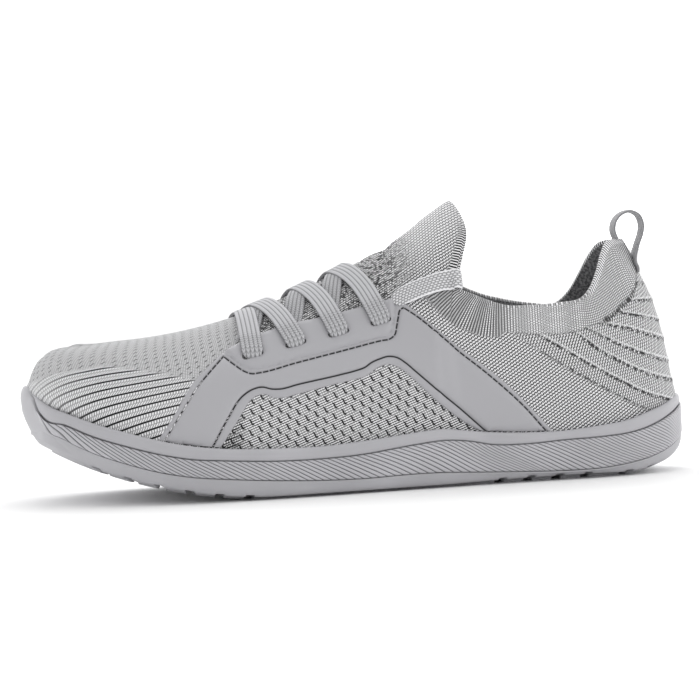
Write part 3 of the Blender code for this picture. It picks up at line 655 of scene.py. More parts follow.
# %% Lace finishes
LACE_LIGHT, LACE_DARK = (0.53, 0.53, 0.55), (0.16, 0.16, 0.165)
LACE_WIDTH, LACE_RIDGES, LACE_PICK = 8.6, 5, 1.3
DOT_DARK, DOT_LIGHT = (0.31, 0.31, 0.32), (0.86, 0.86, 0.88)
DOT_PITCH = 1.6


def lace_weave():
    """Crossing strands: lengthwise ridges, crosshatched by slanting picks towards the eyelet."""
    material, tree, surface = shader("lace_weave")
    plain_finish(surface, LACE_LIGHT, 0.85)
    run, side = value_of(tree, "run"), value_of(tree, "side")
    ridge = (side * (LACE_RIDGES / LACE_WIDTH) + 0.5).wave()
    slant = ((side * (LACE_RIDGES / LACE_WIDTH)).fraction() - 0.5).math("ABSOLUTE")
    pick = (run * (1 / LACE_PICK) + slant * 1.3).wave()
    near_eyelet = (1.0 - run.step(8.0, 15.0)).most(run.step(36.0, 42.0))
    height = ridge.math("POWER", 0.35) * (1.0 - (0.15 + 0.5 * near_eyelet) * (1.0 - pick))
    colour_between(tree, surface, height.step(-0.1, 0.75), LACE_DARK, LACE_LIGHT)
    raised_by(tree, surface, height, 0.35)
    return material


def lace_dotted():
    """Lace ends: grey ground with staggered light dots and light selvages."""
    material, tree, surface = shader("lace_dotted")
    plain_finish(surface, LACE_LIGHT, 0.85)
    run, side = value_of(tree, "run"), value_of(tree, "side")
    dots = (run * (1 / DOT_PITCH) + side.whole() * 0.5).wave() * side.wave()
    selvage = side.math("ABSOLUTE").step(3.3, 3.7)
    height = dots.math("POWER", 0.7).most(selvage * 0.8)
    colour_between(tree, surface, height.step(0.0, 0.7), DOT_DARK, DOT_LIGHT)
    raised_by(tree, surface, height, 0.3)
    return material


LACE_WEAVE, LACE_DOTTED = lace_weave(), lace_dotted()
print("lace finishes", len(LACE_WEAVE.node_tree.nodes), "and", len(LACE_DOTTED.node_tree.nodes), "nodes")

# %% [markdown]
# ## Places seen from the side
# Panels, slots and lace ends were measured in side view. To lay them on the upper, a point of that view
# is looked up on the surface: the nearest point of a fine grid first, then a few steps of Newton's
# method. Projecting with a modifier would work too, but would not give the place's own t and w.

# %% Places seen from the side
grid_t, grid_w = np.meshgrid(np.linspace(0.0, 1.0, 501), np.linspace(0.004, 0.996, 201))
side_finder = {}
for side in (-1, 1):
    seen = upper_point(grid_t, side * grid_w)
    finder = KDTree(grid_t.size)
    for index, (x, _, z) in enumerate(seen.reshape(-1, 3)):
        finder.insert((x, 0.0, z), index)
    finder.balance()
    side_finder[side] = finder


def on_side(x, z, side):
    """Places on one side of the upper seen at these side-view points, as t and w."""
    start = [side_finder[side].find((px, 0.0, pz))[1] for px, pz in zip(x, z)]
    t, w = grid_t.flat[start].copy(), side * grid_w.flat[start]
    aim = np.stack([x, z], -1)
    nudge = 1e-4
    for _ in range(6):
        here = upper_point(t, w)[:, ::2]
        by_t = (upper_point(np.clip(t + nudge, 0, 1), w)[:, ::2] - here) / nudge
        by_w = (upper_point(t, w - side * nudge)[:, ::2] - here) / (-side * nudge)
        miss = aim - here
        area = by_t[:, 0] * by_w[:, 1] - by_t[:, 1] * by_w[:, 0]
        area = np.where(np.abs(area) < 1.0, np.sign(area) + (area == 0), area)
        step_t = (miss[:, 0] * by_w[:, 1] - miss[:, 1] * by_w[:, 0]) / area
        step_w = (by_t[:, 0] * miss[:, 1] - by_t[:, 1] * miss[:, 0]) / area
        t = np.clip(t + np.clip(step_t, -0.01, 0.01), 0, 1)
        w = side * np.clip(side * (w + np.clip(step_w, -0.02, 0.02)), 0.002, 0.999)
    return t, w


print("side grid:", grid_t.size, "places a side")

# %% [markdown]
# ## The lace ends
# Each end leaves the top of the eyestay, runs along the knit, folds over the rim beside the tongue and
# is tucked in along the lining. The route follows the one of the packed solid. Its fold is given by
# rows: how far past the rim, how far out, and where the lace faces.

# %% Route of a lace end
TAIL_WIDTH, TAIL_THICKNESS, TAIL_CLEAR = 8.2, 1.3, 0.7
TAIL_COLUMNS = ("x", "z")
TAIL_OUTSIDE = ((12.6, 74.0), (16.6, 76.2), (21.7, 78.2), (27.5, 80.1), (32.5, 81.4), (37.0, 82.2))
TAIL_INSIDE = ((36.5, 82.2), (32.0, 80.6), (27.0, 78.2), (22.0, 75.2), (17.0, 71.7), (12.5, 67.8))
TAIL_RIM, TAIL_LIFT_FROM, TAIL_LIFT_REACH = (0.646, 0.652, 0.660), 21.5, 15.5
FOLD_COLUMNS = ("past_rim", "away", "faces_out", "faces_back")
FOLD_ROWS = (
    (-0.8, 0.90, 1.0, 0.0), (0.6, 0.85, 0.95, 0.3), (1.3, 0.20, 0.6, 0.8), (1.6, -1.00, 0.0, 1.0),
    (1.3, -2.30, -0.6, 0.8), (0.6, -3.10, -0.95, 0.3), (-0.8, -4.00, -1.0, 0.0),
)


def tail_route(side):
    """Middle of the inner face of a lace end, with the direction that it faces."""
    outside, inside = columns(TAIL_COLUMNS, TAIL_OUTSIDE), columns(TAIL_COLUMNS, TAIL_INSIDE)
    fold = columns(FOLD_COLUMNS, FOLD_ROWS)
    above, rim, below = (upper_point(t, side * 1e-6) for t in TAIL_RIM)
    heelward = np.array([1.0, 0.0, 0.0])
    out = -side * unit(np.cross(heelward, above - below))
    runs = []
    for run in (outside, inside):
        meets = run["z"][0 if run is inside else -1]
        lift = (rim[2] - meets) * np.clip((run["x"] - TAIL_LIFT_FROM) / TAIL_LIFT_REACH, 0, 1)
        runs.append(on_side(run["x"], run["z"] + lift, side))
    near = np.interp(outside["x"], outside["x"][[0, 2]], (0.15, TAIL_CLEAR))[:, None]
    far = -KNIT_WALL - 2.5 * TAIL_CLEAR
    centre = np.concatenate([
        upper_point(*runs[0]) + near * upper_normal(*runs[0]),
        rim + np.outer(fold["past_rim"], heelward) + np.outer(fold["away"], out),
        upper_point(*runs[1]) + far * upper_normal(*runs[1]),
    ])
    normal = unit(np.concatenate([
        upper_normal(*runs[0]),
        np.outer(fold["faces_out"], out) + np.outer(fold["faces_back"], heelward),
        -upper_normal(*runs[1]),
    ]))
    return centre, normal


print("lace end route:", len(tail_route(-1)[0]), "points")

# %% [markdown]
# ## Lace end pieces
# A lace end hangs free of the rest, and is built as a flat band with its width and path. The
# outer one shows; the inner one mirrors it over a slightly higher rim.

# %% Lace ends
for side, word in ((-1, "lateral"), (1, "medial")):
    both = resample(np.hstack(tail_route(side)), 120)
    centre, normal = both[:, :3], unit(both[:, 3:])
    sideways = unit(np.cross(normal, np.gradient(centre, axis=0)))
    band = bmesh.new()
    add_band(band, centre, sideways, normal, TAIL_WIDTH, TAIL_THICKNESS, (8.0, 0.0))
    weld(band)
    tail = piece(f"lace_end_{word}", band, LACE_DOTTED, [f"lace_tail_{word}"])
    middle = (centre + normal * TAIL_THICKNESS / 2) * MM

# %% [markdown]
# ## Rubber of the sole
# The sole is moulded foam rubber in one colour, satin, with a faint grain and slow cloudy shading. The
# lip and the ribs catch more light on the real shoe, so they have slightly lighter versions of the same
# finish, as painted light, and the grooves between the ribs are darkened as painted shade.

# %% Sole finish
SOLE_GREY = (0.413, 0.410, 0.430)


def sole_finish(name, colour):
    """Moulded foam rubber: satin, faint fine grain, slow cloudy shading, painted shade in the rib grooves."""
    material, tree, surface = shader(name)
    plain_finish(surface, colour, 0.5, specular=0.35)
    cloud = grain(tree, 24.0, 1.0).step(0.3, 0.7) * 0.08 + 0.92
    # painted shade: the groove layer darkens the grooves between the ribs
    shade = cloud * (1.0 - 0.75 * value_of(tree, "groove"))
    colour_between(tree, surface, shade, (0.0, 0.0, 0.0), tuple(1.04 * c for c in colour))
    raised_by(tree, surface, grain(tree, 0.35, 3.0), 0.02)
    return material


SOLE_RUBBER = sole_finish("sole_rubber", SOLE_GREY)
# lighter copies of the same rubber for the lip and the ribs: painted light
SOLE_LIP = sole_finish("sole_lip", tuple(1.05 * c for c in SOLE_GREY))
SOLE_RIBS = sole_finish("sole_ribs", tuple(1.19 * c for c in SOLE_GREY))
print("sole finishes: 3")

# %% [markdown]
# ## Loops of the sole
# A smooth bottom band sweeps up into the toe bumper; above it lie a ribbed band and a rolled lip. Each
# is a stack of closed loops round the shoe. A loop is the outline moved inwards by an inset, at a
# height from the side table. Sculpting would do, but loops keep every edge on its measured line.

# %% Sole loops
HEEL_TRIM, TOE_REACH = 0.9, 1.1
OUTSOLE_TIP, BAND_TIP = (0.02, 0.06), (0.03, 0.06)


def end_inset(t):
    """Small corrections of the inset: the heel is a little shorter, the toe a little longer."""
    return HEEL_TRIM * ease(t, 0.93, 1.0) - TOE_REACH * (1 - ease(t, 0.0, 0.05))


def sole_loop(t, inset, height, toe_cut=0.0, toe_end=(0.04, 0.16), at_edge=False):
    """Closed loop round the shoe: outer side from toe to heel, then inner side back to the toe."""
    loops = []
    for side, order in ((-1, t), (1, t[::-1])):
        x, y = inset_outline(order, side, inset + end_inset(order) + toe_cut * (1 - ease(order, *toe_end)))
        loops.append(np.stack([x, y, height(outline(order, side)[0] if at_edge else x)], -1))
    return np.concatenate([loops[0], loops[1][1:]])


def sole_body(t, loops):
    """Skin over the loops, closed by strips that run across the shoe."""
    shape = bmesh.new()
    patch(shape, np.stack(loops))
    for loop in (loops[0], loops[-1]):
        patch(shape, np.stack([loop[: len(t)], loop[len(t) - 1:][::-1]]))
    weld(shape)
    return shape


def end_spaced(count):
    """Steps from toe to heel, closer together at both ends."""
    even = np.linspace(0, 1, count)
    return even - 0.6 * np.sin(2 * math.pi * even) / (2 * math.pi)


print("sole loops ready")

# %% [markdown]
# ## Tread
# Grooves cross the sole under the ball and the heel. The loops need a station on each side of every
# groove wall, so those places are added to the even ones, and the cut says how deep the groove is at a
# station. A boolean cut would do it too, but leave thin faces along the walls.

# %% Tread stations
TREAD_GROOVE_X = (-112.0, -100.0, -88.0, -76.0, -64.0, -52.0, 52.0, 64.0, 76.0, 88.0, 106.0, 116.0)
TREAD_GROOVE_WIDTH, TREAD_GROOVE_DEPTH, GROOVE_WALL = 3.2, 1.6, 0.4
fine_t = np.linspace(0, 1, 4001)
fine_x = outline(fine_t, -1)[0]
cuts = []
for x in TREAD_GROOVE_X:
    reach = TREAD_GROOVE_WIDTH / 2
    for offset in (-reach - GROOVE_WALL, -reach, reach, reach + GROOVE_WALL):
        cuts.append(float(np.interp(x + offset, fine_x, fine_t)))
plain = [t for t in end_spaced(150) if np.abs(np.array(cuts) - t).min() > 0.0015]
station_t = np.array(sorted(plain + cuts))
station_x = outline(station_t, -1)[0]
away = np.abs(station_x[:, None] - np.array(TREAD_GROOVE_X)).min(axis=1)
cut = TREAD_GROOVE_DEPTH * (away < TREAD_GROOVE_WIDTH / 2 + GROOVE_WALL / 2)
cut = np.concatenate([cut, cut[::-1][1:]])
print("stations:", len(station_t))

# %% [markdown]
# ## Outsole
# The rows give the outsole's section from the middle of the sole outwards and up its side: inset,
# height above the ground, share of the groove, and how far the toe is cut back. The edge rows round its
# upper edge: inset, depth below the edge, extra depth at the toe tip, and the cut. It could be
# sculpted; rows keep its section the same all round.

# %% Outsole
OUTSOLE_ROWS = (
    (14.0, 0.0, 1.0, 3.0), (9.0, 0.0, 1.0, 3.0), (8.2, 0.7, 0.9, 3.6), (5.0, 1.05, 0.7, 4.0),
    (3.2, 1.15, 0.5, 4.2), (2.2, 1.4, 0.3, 4.6), (1.5, 2.0, 0.1, 4.5), (1.0, 2.9, 0.0, 4.2),
    (0.55, 4.2, 0.0, 3.7), (0.35, 6.0, 0.0, 2.8), (0.32, 8.5, 0.0, 1.5), (0.30, 11.5, 0.0, 0.45),
)
EDGE_ROWS = ((0.3, 0.35, 4.8, 0.0), (0.33, 0.25, 3.2, 0.15), (0.45, 0.15, 1.7, 0.45), (0.9, 0.12, 0.5, 0.8),
             (2.0, 0.15, 0.0, 0.7), (2.1, 1.2, 0.0, 1.6))


def tread_swell(x):
    """The tread's edge stands taller under the front of the heel."""
    return 1 + 0.6 * ease(x, 20, 70) - 0.6 * ease(x, 92, 112)


def edge_height(x, below, toe_round):
    return side_height("part", x) - below - toe_round * (1 - ease(x, -135.8, -133.0))


loops = []
for inset, rise, share, toe_cut in OUTSOLE_ROWS:
    loop = sole_loop(station_t, inset, lambda x: ground(x) + rise * tread_swell(x), toe_cut)
    limit = sole_loop(station_t, inset, lambda x: side_height("part", x) - 0.6, toe_cut)[:, 2]
    loop[:, 2] = np.minimum(loop[:, 2] + share * cut, limit)
    loops.append(loop)
for inset, below, toe_round, toe_cut in EDGE_ROWS:
    loops.append(sole_loop(
        station_t, inset, lambda x: edge_height(x, below, toe_round), toe_cut, OUTSOLE_TIP, True))
loops.append(sole_loop(station_t, 2.2, hidden_joint, 1.6, OUTSOLE_TIP))
piece("outsole_rubber", sole_body(station_t, loops), SOLE_RUBBER, ["outsole"], 40)

# %% [markdown]
# ## Where the ribs run
# Narrow ribs slant all round the side, closer and steeper in some places than in others. Two short
# tables give their spacing and slope over the distance round the shoe. Adding up the ribs along the way
# gives a whole number of them, so that the ring closes.

# %% Rib spacing
RIB_DEPTH = 0.60
RIB_SPACING = ((0, 120, 190, 250, 290, 330, 360), (1.36, 1.28, 1.27, 1.2, 1.12, 1.12, 1.27))
RIB_SLOPE = (
    (0, 12, 30, 60, 90, 120, 190, 240, 275, 300, 330),
    (2.0, 4.0, 3.8, 2.9, 2.3, 2.1, 2.1, 2.1, 1.6, 1.1, 1.0),
)
RIB_SAMPLES, BAND_ROWS = 10, 14
dense = np.linspace(0, 1, 3001)
round_x = np.concatenate([outline(dense, -1)[0], outline(dense[::-1], 1)[0][1:]])
round_y = np.concatenate([outline(dense, -1)[1], outline(dense[::-1], 1)[1][1:]])
travel = np.concatenate([[0], np.cumsum(np.hypot(np.diff(round_x), np.diff(round_y)))])
both_ways = np.concatenate([dense, 2 - dense[::-1][1:]])
band_height = side_height("rib_top", round_x) - side_height("part", round_x) - GAP
slope, spacing = np.interp(travel, *RIB_SLOPE), np.interp(travel, *RIB_SPACING)
ribs_to = np.concatenate([[0], np.cumsum(np.diff(travel) / (spacing * np.hypot(1, slope))[1:])])
rib_count = round(ribs_to[-1])
phase = np.arange(rib_count * RIB_SAMPLES + 1) / RIB_SAMPLES
start = np.interp(phase * ribs_to[-1] / rib_count, ribs_to, travel)
groove = np.clip(1.5 * np.abs(np.sin(math.pi * phase)) ** 0.8, 0, 1)
print("ribs:", rib_count)

# %% [markdown]
# ## Ribbed band
# An array of one modelled rib would not follow the changing slope. Here every loop of the band carries
# all ribs as a ripple in its inset, and lower loops lag behind, which slants them.

# %% Ribbed band
TIP_SET_BACK, BAND_BACK = 2.4, 1.6


def band_loop(down, inset, depth):
    """One loop of the band: lower loops lag behind, which slants the ribs."""
    lag = np.interp(start, *RIB_SLOPE) * np.interp(start, travel, band_height) * down
    run = np.interp((start + lag) % travel[-1], travel, both_ways)
    t = np.where(run <= 1, run, 2 - run)
    tall = np.interp((start + lag) % travel[-1], travel, band_height)
    ripple = depth * (1 - groove) * ease(tall, 1.5, 4.0)
    inset = inset + ripple + end_inset(t) + TIP_SET_BACK * (1 - ease(t, *BAND_TIP))
    outer, inner = np.stack(inset_outline(t, -1, inset)), np.stack(inset_outline(t, 1, inset))
    x, y = np.where(run <= 1, outer, inner)
    top, bottom = side_height("rib_top", x) - GAP / 2, side_height("part", x) + GAP / 2
    return np.stack([x, y, top + (bottom - top) * down], -1)


shape = bmesh.new()
down = np.linspace(0, 1, BAND_ROWS + 1)
edge = 0.35 * (np.abs(2 * down - 1) > 0.99)
loops = [band_loop(d, 0.05 + e, RIB_DEPTH) for d, e in zip(down, edge)]
loops += [band_loop(down_to, BAND_BACK, 0.0) for down_to in (1.0, 0.5, 0.0)] + loops[:1]
# the groove layer carries painted shade into the rib grooves of the finish
patch(shape, np.stack(loops), {"groove": (1 - groove)[None] ** 1.3})
weld(shape)
piece("ribbed_band", shape, SOLE_RIBS, ["sidewall_band"])

# %% [markdown]
# ## Lip and cup
# Above the ribs the sole ends in a rolled lip, and behind it a wall drops to the footbed. The rows go
# round that section: inset, the line that the row follows, and how far above that line it lies. A curve
# with a bevel would give the roll, but not a height that changes along the way.

# %% Lip and cup
LIP_ROWS = (
    (2.4, "core", 0.3), (2.3, "rib_top", 0.15), (1.2, "rib_top", 0.15), (0.75, "rib_top", 0.3),
    (0.55, "rib_top", 0.75), (0.55, "rib_top", 1.5), (0.62, "lip", -1.9), (0.75, "lip", -1.15),
    (1.1, "lip", -0.5), (1.7, "lip", -0.1), (2.4, "lip", 0.0), (3.0, "lip", -0.2), (3.5, "lip", -0.75),
    (3.65, "lip", -1.8), (3.7, "bed", 0.0),
)
LIP_CUT = 1.4
lip_t = end_spaced(200)


def cup_height(name, above, x):
    """Height of a lip row; rows squeeze together where the lip runs out at the toe."""
    if name == "core":
        return hidden_joint(x) + above
    if name == "bed":
        return bed(x) + above
    tall = side_height("lip", x) - side_height("rib_top", x)
    return side_height(name, x) + above * np.clip(tall / 4.0, 0.0, 1.0)


loops = [
    sole_loop(lip_t, inset, lambda x: cup_height(line, above, x), LIP_CUT, BAND_TIP, line in SIDE)
    for inset, line, above in LIP_ROWS
]
piece("sole_cup", sole_body(lip_t, loops), SOLE_LIP, ["midsole"], 50)

# %% [markdown]
# ## Lines on the knit
# The bootie is knitted in one piece, and its zones meet along lines: the foot of the cuff, the front of
# the heel and the ridges on it. They are drawn in side view, so a height over x is enough.

# %% Lines that part the knit zones
CUFF_LINE = (
    (37.0, 63.5), (42.3, 62.2), (49.0, 60.4), (58.8, 60.2), (66.0, 59.3), (79.0, 58.6), (84.4, 59.1),
    (89.4, 60.2), (93.9, 61.5), (98.0, 62.7), (102.4, 64.5), (106.8, 67.8), (110.8, 70.7),
    (114.8, 74.6), (117.5, 80.0), (119.5, 86.0),
)
HEEL_LINE = (
    (58.8, 60.6), (70.3, 52.2), (85.0, 42.0), (94.0, 36.9), (107.5, 29.4), (115.5, 25.7), (136.0, 17.0),
)
RIDGE_LINES = (
    ((114.0, 70.8), (117.4, 70.9), (122.2, 70.8)),
    ((108.9, 66.2), (116.1, 64.3), (123.7, 62.5)),
    ((104.8, 61.1), (110.6, 60.0), (117.6, 57.6), (126.3, 54.8)),
    ((99.2, 56.7), (105.2, 53.7), (111.9, 50.9), (120.1, 47.7), (127.3, 45.6)),
    ((89.2, 57.2), (96.4, 51.7), (104.5, 47.2), (112.1, 43.2), (120.5, 40.0), (128.7, 37.7)),
    ((79.8, 53.6), (86.0, 49.7), (94.2, 44.7), (102.2, 40.2), (111.4, 35.2), (119.1, 32.0), (125.1, 30.0)),
)
RIDGE_SPACING = 7.0


def line_height(line, x):
    """Height of a side-view line at x; beyond its ends it goes on straight."""
    xs, zs = np.array(line).T
    ends = (zs[0] + (x - xs[0]) * (zs[1] - zs[0]) / (xs[1] - xs[0]),
            zs[-1] + (x - xs[-1]) * (zs[-1] - zs[-2]) / (xs[-1] - xs[-2]))
    return np.where(x < xs[0], ends[0], np.where(x > xs[-1], ends[1], np.interp(x, xs, zs)))


def ridge_number(x, z):
    """Heel ridges counted from the top: whole numbers on a ridge, fractions between two of them."""
    lines = [line_height(line, x) for line in RIDGE_LINES]
    number = (lines[0] - z) / RIDGE_SPACING
    for i, (high, low) in enumerate(zip(lines[:-1], lines[1:])):
        inside = (high - z) / np.maximum(high - low, 0.5)
        number = np.where(inside >= 0, i + np.minimum(inside, 1.0), number)
    return np.where(z < lines[-1], len(lines) - 1 + (lines[-1] - z) / RIDGE_SPACING, number)


print("heel ridges:", len(RIDGE_LINES))

# %% [markdown]
# ## Grid of the knit
# The upper is one skin: two fine grids, outer and inner side of the foot, that meet along the toe, the
# instep and the heel. Every point keeps how far it lies from the top, from the toe and along the rim,
# because yarn runs by distance and not by t and w.

# %% Grid of the knit
knit_t = np.concatenate([
    np.linspace(0, 0.6, 200)[:-1], np.linspace(0.6, 0.69, 66)[:-1], np.linspace(0.69, 1.0, 120)
])
KNIT_ROWS = 108


def knit_grid(side):
    """Places, directions and distances of one side's points."""
    w = side * np.maximum(np.linspace(1, 0, KNIT_ROWS + 1), 1e-9)
    t, w = np.meshgrid(knit_t, w, indexing="ij")
    skin = upper_point(t, w)
    step = np.linalg.norm(np.diff(skin, axis=1), axis=2)
    stride = np.linalg.norm(np.diff(skin, axis=0), axis=2)
    top = np.zeros((len(knit_t), 1))
    forward = np.concatenate([np.zeros((1, t.shape[1])), np.cumsum(stride, axis=0)])
    return {
        "t": t, "a": np.abs(w), "skin": skin, "normal": upper_normal(t, w),
        "x": skin[..., 0], "z": skin[..., 2],
        "top_gap": np.concatenate([np.cumsum(step[:, ::-1], axis=1)[:, ::-1], top], axis=1),
        "forward": forward, "rim_run": np.broadcast_to(forward[-1:, -1:] - forward[:, -1:], t.shape),
    }


knit_grids = {side: knit_grid(side) for side in (-1, 1)}
print("knit points:", 2 * knit_grids[1]["t"].size)

# %% [markdown]
# ## Front zones
# The toe has curved ribs. Places along ten of them were read from the photograph, as t and a, where a is
# the share of the way from the top line (0) to the foot of the knit (1). A polynomial of second degree,
# worked out here from those places, counts the ribs everywhere between them. Behind the toe, the panel's
# two legs frame a window of open mesh. A zone is a number from 0 to 1, so that neighbours blend.

# %% Front zones
TOE_LINES = (
    ((0.038, 0.730), (0.053, 0.650), (0.072, 0.568), (0.094, 0.508), (0.137, 0.474)),
    ((0.038, 0.832), (0.057, 0.730), (0.076, 0.646), (0.099, 0.576), (0.131, 0.510), (0.167, 0.466)),
    ((0.052, 0.844), (0.068, 0.768), (0.089, 0.690), (0.111, 0.632), (0.144, 0.558), (0.199, 0.480)),
    ((0.068, 0.850), (0.086, 0.776), (0.104, 0.710), (0.129, 0.650), (0.171, 0.570), (0.228, 0.498)),
    ((0.083, 0.856), (0.102, 0.782), (0.124, 0.714), (0.158, 0.640), (0.204, 0.564), (0.256, 0.520)),
    ((0.101, 0.854), (0.115, 0.802), (0.141, 0.732), (0.181, 0.654), (0.230, 0.588), (0.285, 0.544)),
    ((0.118, 0.856), (0.140, 0.794), (0.174, 0.718), (0.214, 0.656), (0.274, 0.590)),
    ((0.147, 0.828), (0.174, 0.770), (0.214, 0.704), (0.263, 0.642)),
    ((0.183, 0.800), (0.215, 0.746), (0.254, 0.694)),
    ((0.223, 0.772), (0.248, 0.736)),
)
TOE_EDGE = (
    (0.0, 0.037, 0.078, 0.14, 0.187, 0.239, 0.288, 0.34),
    (0.75, 0.69, 0.575, 0.461, 0.466, 0.498, 0.548, 0.60),
)
FRONT_LEG, REAR_LEG = ((18, 57), (-76, -55)), ((18, 75), (62, 12))


def rib_terms(t, a):
    """Terms of a polynomial of second degree."""
    return np.stack([np.ones_like(t), t, a, t * t, t * a, a * a], -1)


rib_places = [(number, *place) for number, line in enumerate(TOE_LINES) for place in line]
rib_number, rib_t, rib_a = np.array(rib_places).T
RIB_COUNT = np.linalg.lstsq(rib_terms(rib_t, rib_a), rib_number, rcond=None)[0]


def behind_leg(x, z):
    return ease(x - np.interp(z, *REAR_LEG), -2, 2)


def front_zones(grid):
    t, a, x, z = (grid[name] for name in ("t", "a", "x", "z"))
    rib = rib_terms(t, a) @ RIB_COUNT
    toe = ease(a - np.interp(t, *TOE_EDGE), -0.01, 0.03) * (1 - ease(x, -60, -50))
    behind_front = ease(x - np.interp(z, *FRONT_LEG), -2, 2)
    window = behind_front * (1 - behind_leg(x, z)) * (1 - ease(z - 0.2 * x, 50, 54))
    return {"rib": rib, "toe": toe, "window": window}


rib_miss = np.abs(rib_terms(rib_t, rib_a) @ RIB_COUNT - rib_number)
print("toe ribs:", len(TOE_LINES), "lines, most off by", round(float(rib_miss.max()), 2), "of a rib")

# %% [markdown]
# ## Tongue and throat zones
# The tongue begins above the lace end and has a hem along its back edge; the throat lies between the
# eyestays. The hem's stitches are counted along that edge, so each point near it looks up its nearest
# place there.

# %% Tongue and throat zones
HEM_END, HEM_STEPS, FAR_AWAY = 0.662, 300, 99.0


def under_tail(x, z):
    return ease(76.0 + 0.28 * (x - 16.5) - z, -1, 1)


def all_tongue(x, z):
    return ease(x, 4, 12) * (1 - under_tail(x, z))


def tongue_zones(grid):
    x, z, skin = grid["x"], grid["z"], grid["skin"]
    back_edge = resample(skin[(knit_t >= TONGUE_TIP) & (knit_t <= HEM_END), -1], HEM_STEPS)
    near = (x > 30) & (z > 74)
    apart = np.linalg.norm(skin[near][:, None] - back_edge[None], axis=2)
    edge_gap, hem_run = np.full(x.shape, FAR_AWAY), np.zeros(x.shape)
    edge_gap[near] = apart.min(axis=1)
    hem_run[near] = apart.argmin(axis=1) * np.linalg.norm(back_edge[1] - back_edge[0])
    tongue = all_tongue(x, z)
    hem = (1 - ease(edge_gap, 3.0, 4.4)) * (1 - 0.85 * ease(z, 99, 107)) * tongue
    throat = ease(x, -50, -42) * (1 - ease(x, 10, 28)) * (1 - ease(grid["top_gap"], 26, 32))
    return {"hem": hem, "hem_run": hem_run, "throat": throat, "tongue": tongue * (1 - throat)}


print("hem steps:", HEM_STEPS)

# %% [markdown]
# ## Collar and heel zones
# Cuff ribs fan out round the front of the collar and run on along its rim. Below them come the quarter
# and the ridged heel, parted by the lines above. Painting the zones by hand would work too, but a line
# is easily moved by a millimetre.

# %% Collar and heel zones
FAN_CENTRE, FAN_REACH, FAN_SCALE = (55.0, 92.0), 33.5, 30.0
FAN_END = 0.699


def collar_zones(grid):
    t, x, z, rim_run = (grid[name] for name in ("t", "x", "z", "rim_run"))
    not_tongue = 1 - all_tongue(x, z)
    fan_x, fan_z = FAN_CENTRE[0] - x, FAN_CENTRE[1] - z
    fan_start = np.interp(FAN_END, knit_t, rim_run[:, -1])
    fan_run = fan_start + FAN_SCALE * np.arctan2(fan_x, np.maximum(fan_z, 0.1))
    cuff_run = fan_run + (rim_run - fan_run) * ease(x, 48, 60)
    fan = 1 - ease(np.hypot(fan_x, fan_z), FAN_REACH - 0.8, FAN_REACH + 0.8)
    above_cuff = ease(z - line_height(CUFF_LINE, x), -0.6, 0.6)
    behind, below = behind_leg(x, z), under_tail(x, z)
    cuff = np.where(x < FAN_CENTRE[0], fan, above_cuff) * behind * not_tongue * below
    heel = (1 - above_cuff) * ease(z - line_height(HEEL_LINE, x), -1.2, 1.2) * ease(x, 56, 62)
    return {
        "cuff_run": cuff_run, "cuff": cuff, "heel": heel, "ridge": ridge_number(x, z),
        "quarter": behind * (1 - cuff) * (1 - heel) * not_tongue * below,
        "edge": ease(t, 0.83, 0.87) * (1 - ease(grid["top_gap"], 2.2, 3.0)),
        "seam": ease(x, 96, 99) * (1 - ease(np.abs(z - line_height(CUFF_LINE, x)), 1.0, 1.8)),
    }


print("cuff fan reaches", FAN_REACH, "mm")

# %% [markdown]
# ## Relief of the knit
# Toe ribs, heel ridges, the cuff's step and a crease behind the eyestay are tall enough to show in the
# outline, so they move the points. Toe and heel also bulge a little over the lip. Finer stitches stay
# in the finish.

# %% Relief of the knit
TOE_BULGE = ((0.0, 2.0, 4.5, 9.5, 14.5, 18.0, 20.0), (0.0, 1.5, 2.4, 1.4, 0.5, -0.2, -0.8))
HEEL_BULGE = ((0.0, 3.0, 9.0, 42.0, 55.0), (2.0, 1.8, 1.1, 1.0, 0.0))
CREASE_LINE = ((83.0, 88.9, 91.7, 95.4), (10.6, 10.3, 10.9, 13.4))


def bell(distance, width):
    return np.exp(-(distance / width) ** 2)


def knit_relief(grid, values):
    """How far the knit stands out from the surface of the tables."""
    t, a, x, z = (grid[name] for name in ("t", "a", "x", "z"))
    number = values["ridge"]
    crease = x - np.interp(z, *CREASE_LINE)
    above_lip = z - side_height("lip", x)
    has_ridge = (number > -0.3) * (number < 5.3)
    cuff_step = 0.25 * ease(x, 60, 66) * bell(z - line_height(CUFF_LINE, x), 0.8) * behind_leg(x, z)
    fold = 0.5 * bell(crease + 4.5, 2.5) - 0.8 * bell(crease, 2.2)
    return (
        0.45 * values["toe"] * np.abs(np.sin(math.pi * values["rib"])) ** 0.6
        + np.interp(above_lip, *TOE_BULGE) * (1 - ease(t, 0.05, 0.17)) * ease(a, 0.02, 0.1)
        + np.interp(above_lip, *HEEL_BULGE) * ease(t, 0.90, 0.99)
        + 0.45 * values["heel"] * bell(number - np.round(number), 0.12) * has_ridge
        + 0.30 * values["cuff"] - cuff_step
        + fold * ease(z, 82, 88) * (x < 20)
    )


print("toe bulges", max(TOE_BULGE[1]), "mm")

# %% [markdown]
# ## Two sides of the knit
# Grid, zones and relief come together. What no zone claims is vamp. Near the collar the skin backs off,
# to leave room for its rolled rim.

# %% Two sides of the knit
RIM_ROLL, ROLL_ROOM = 1.0, 4.0


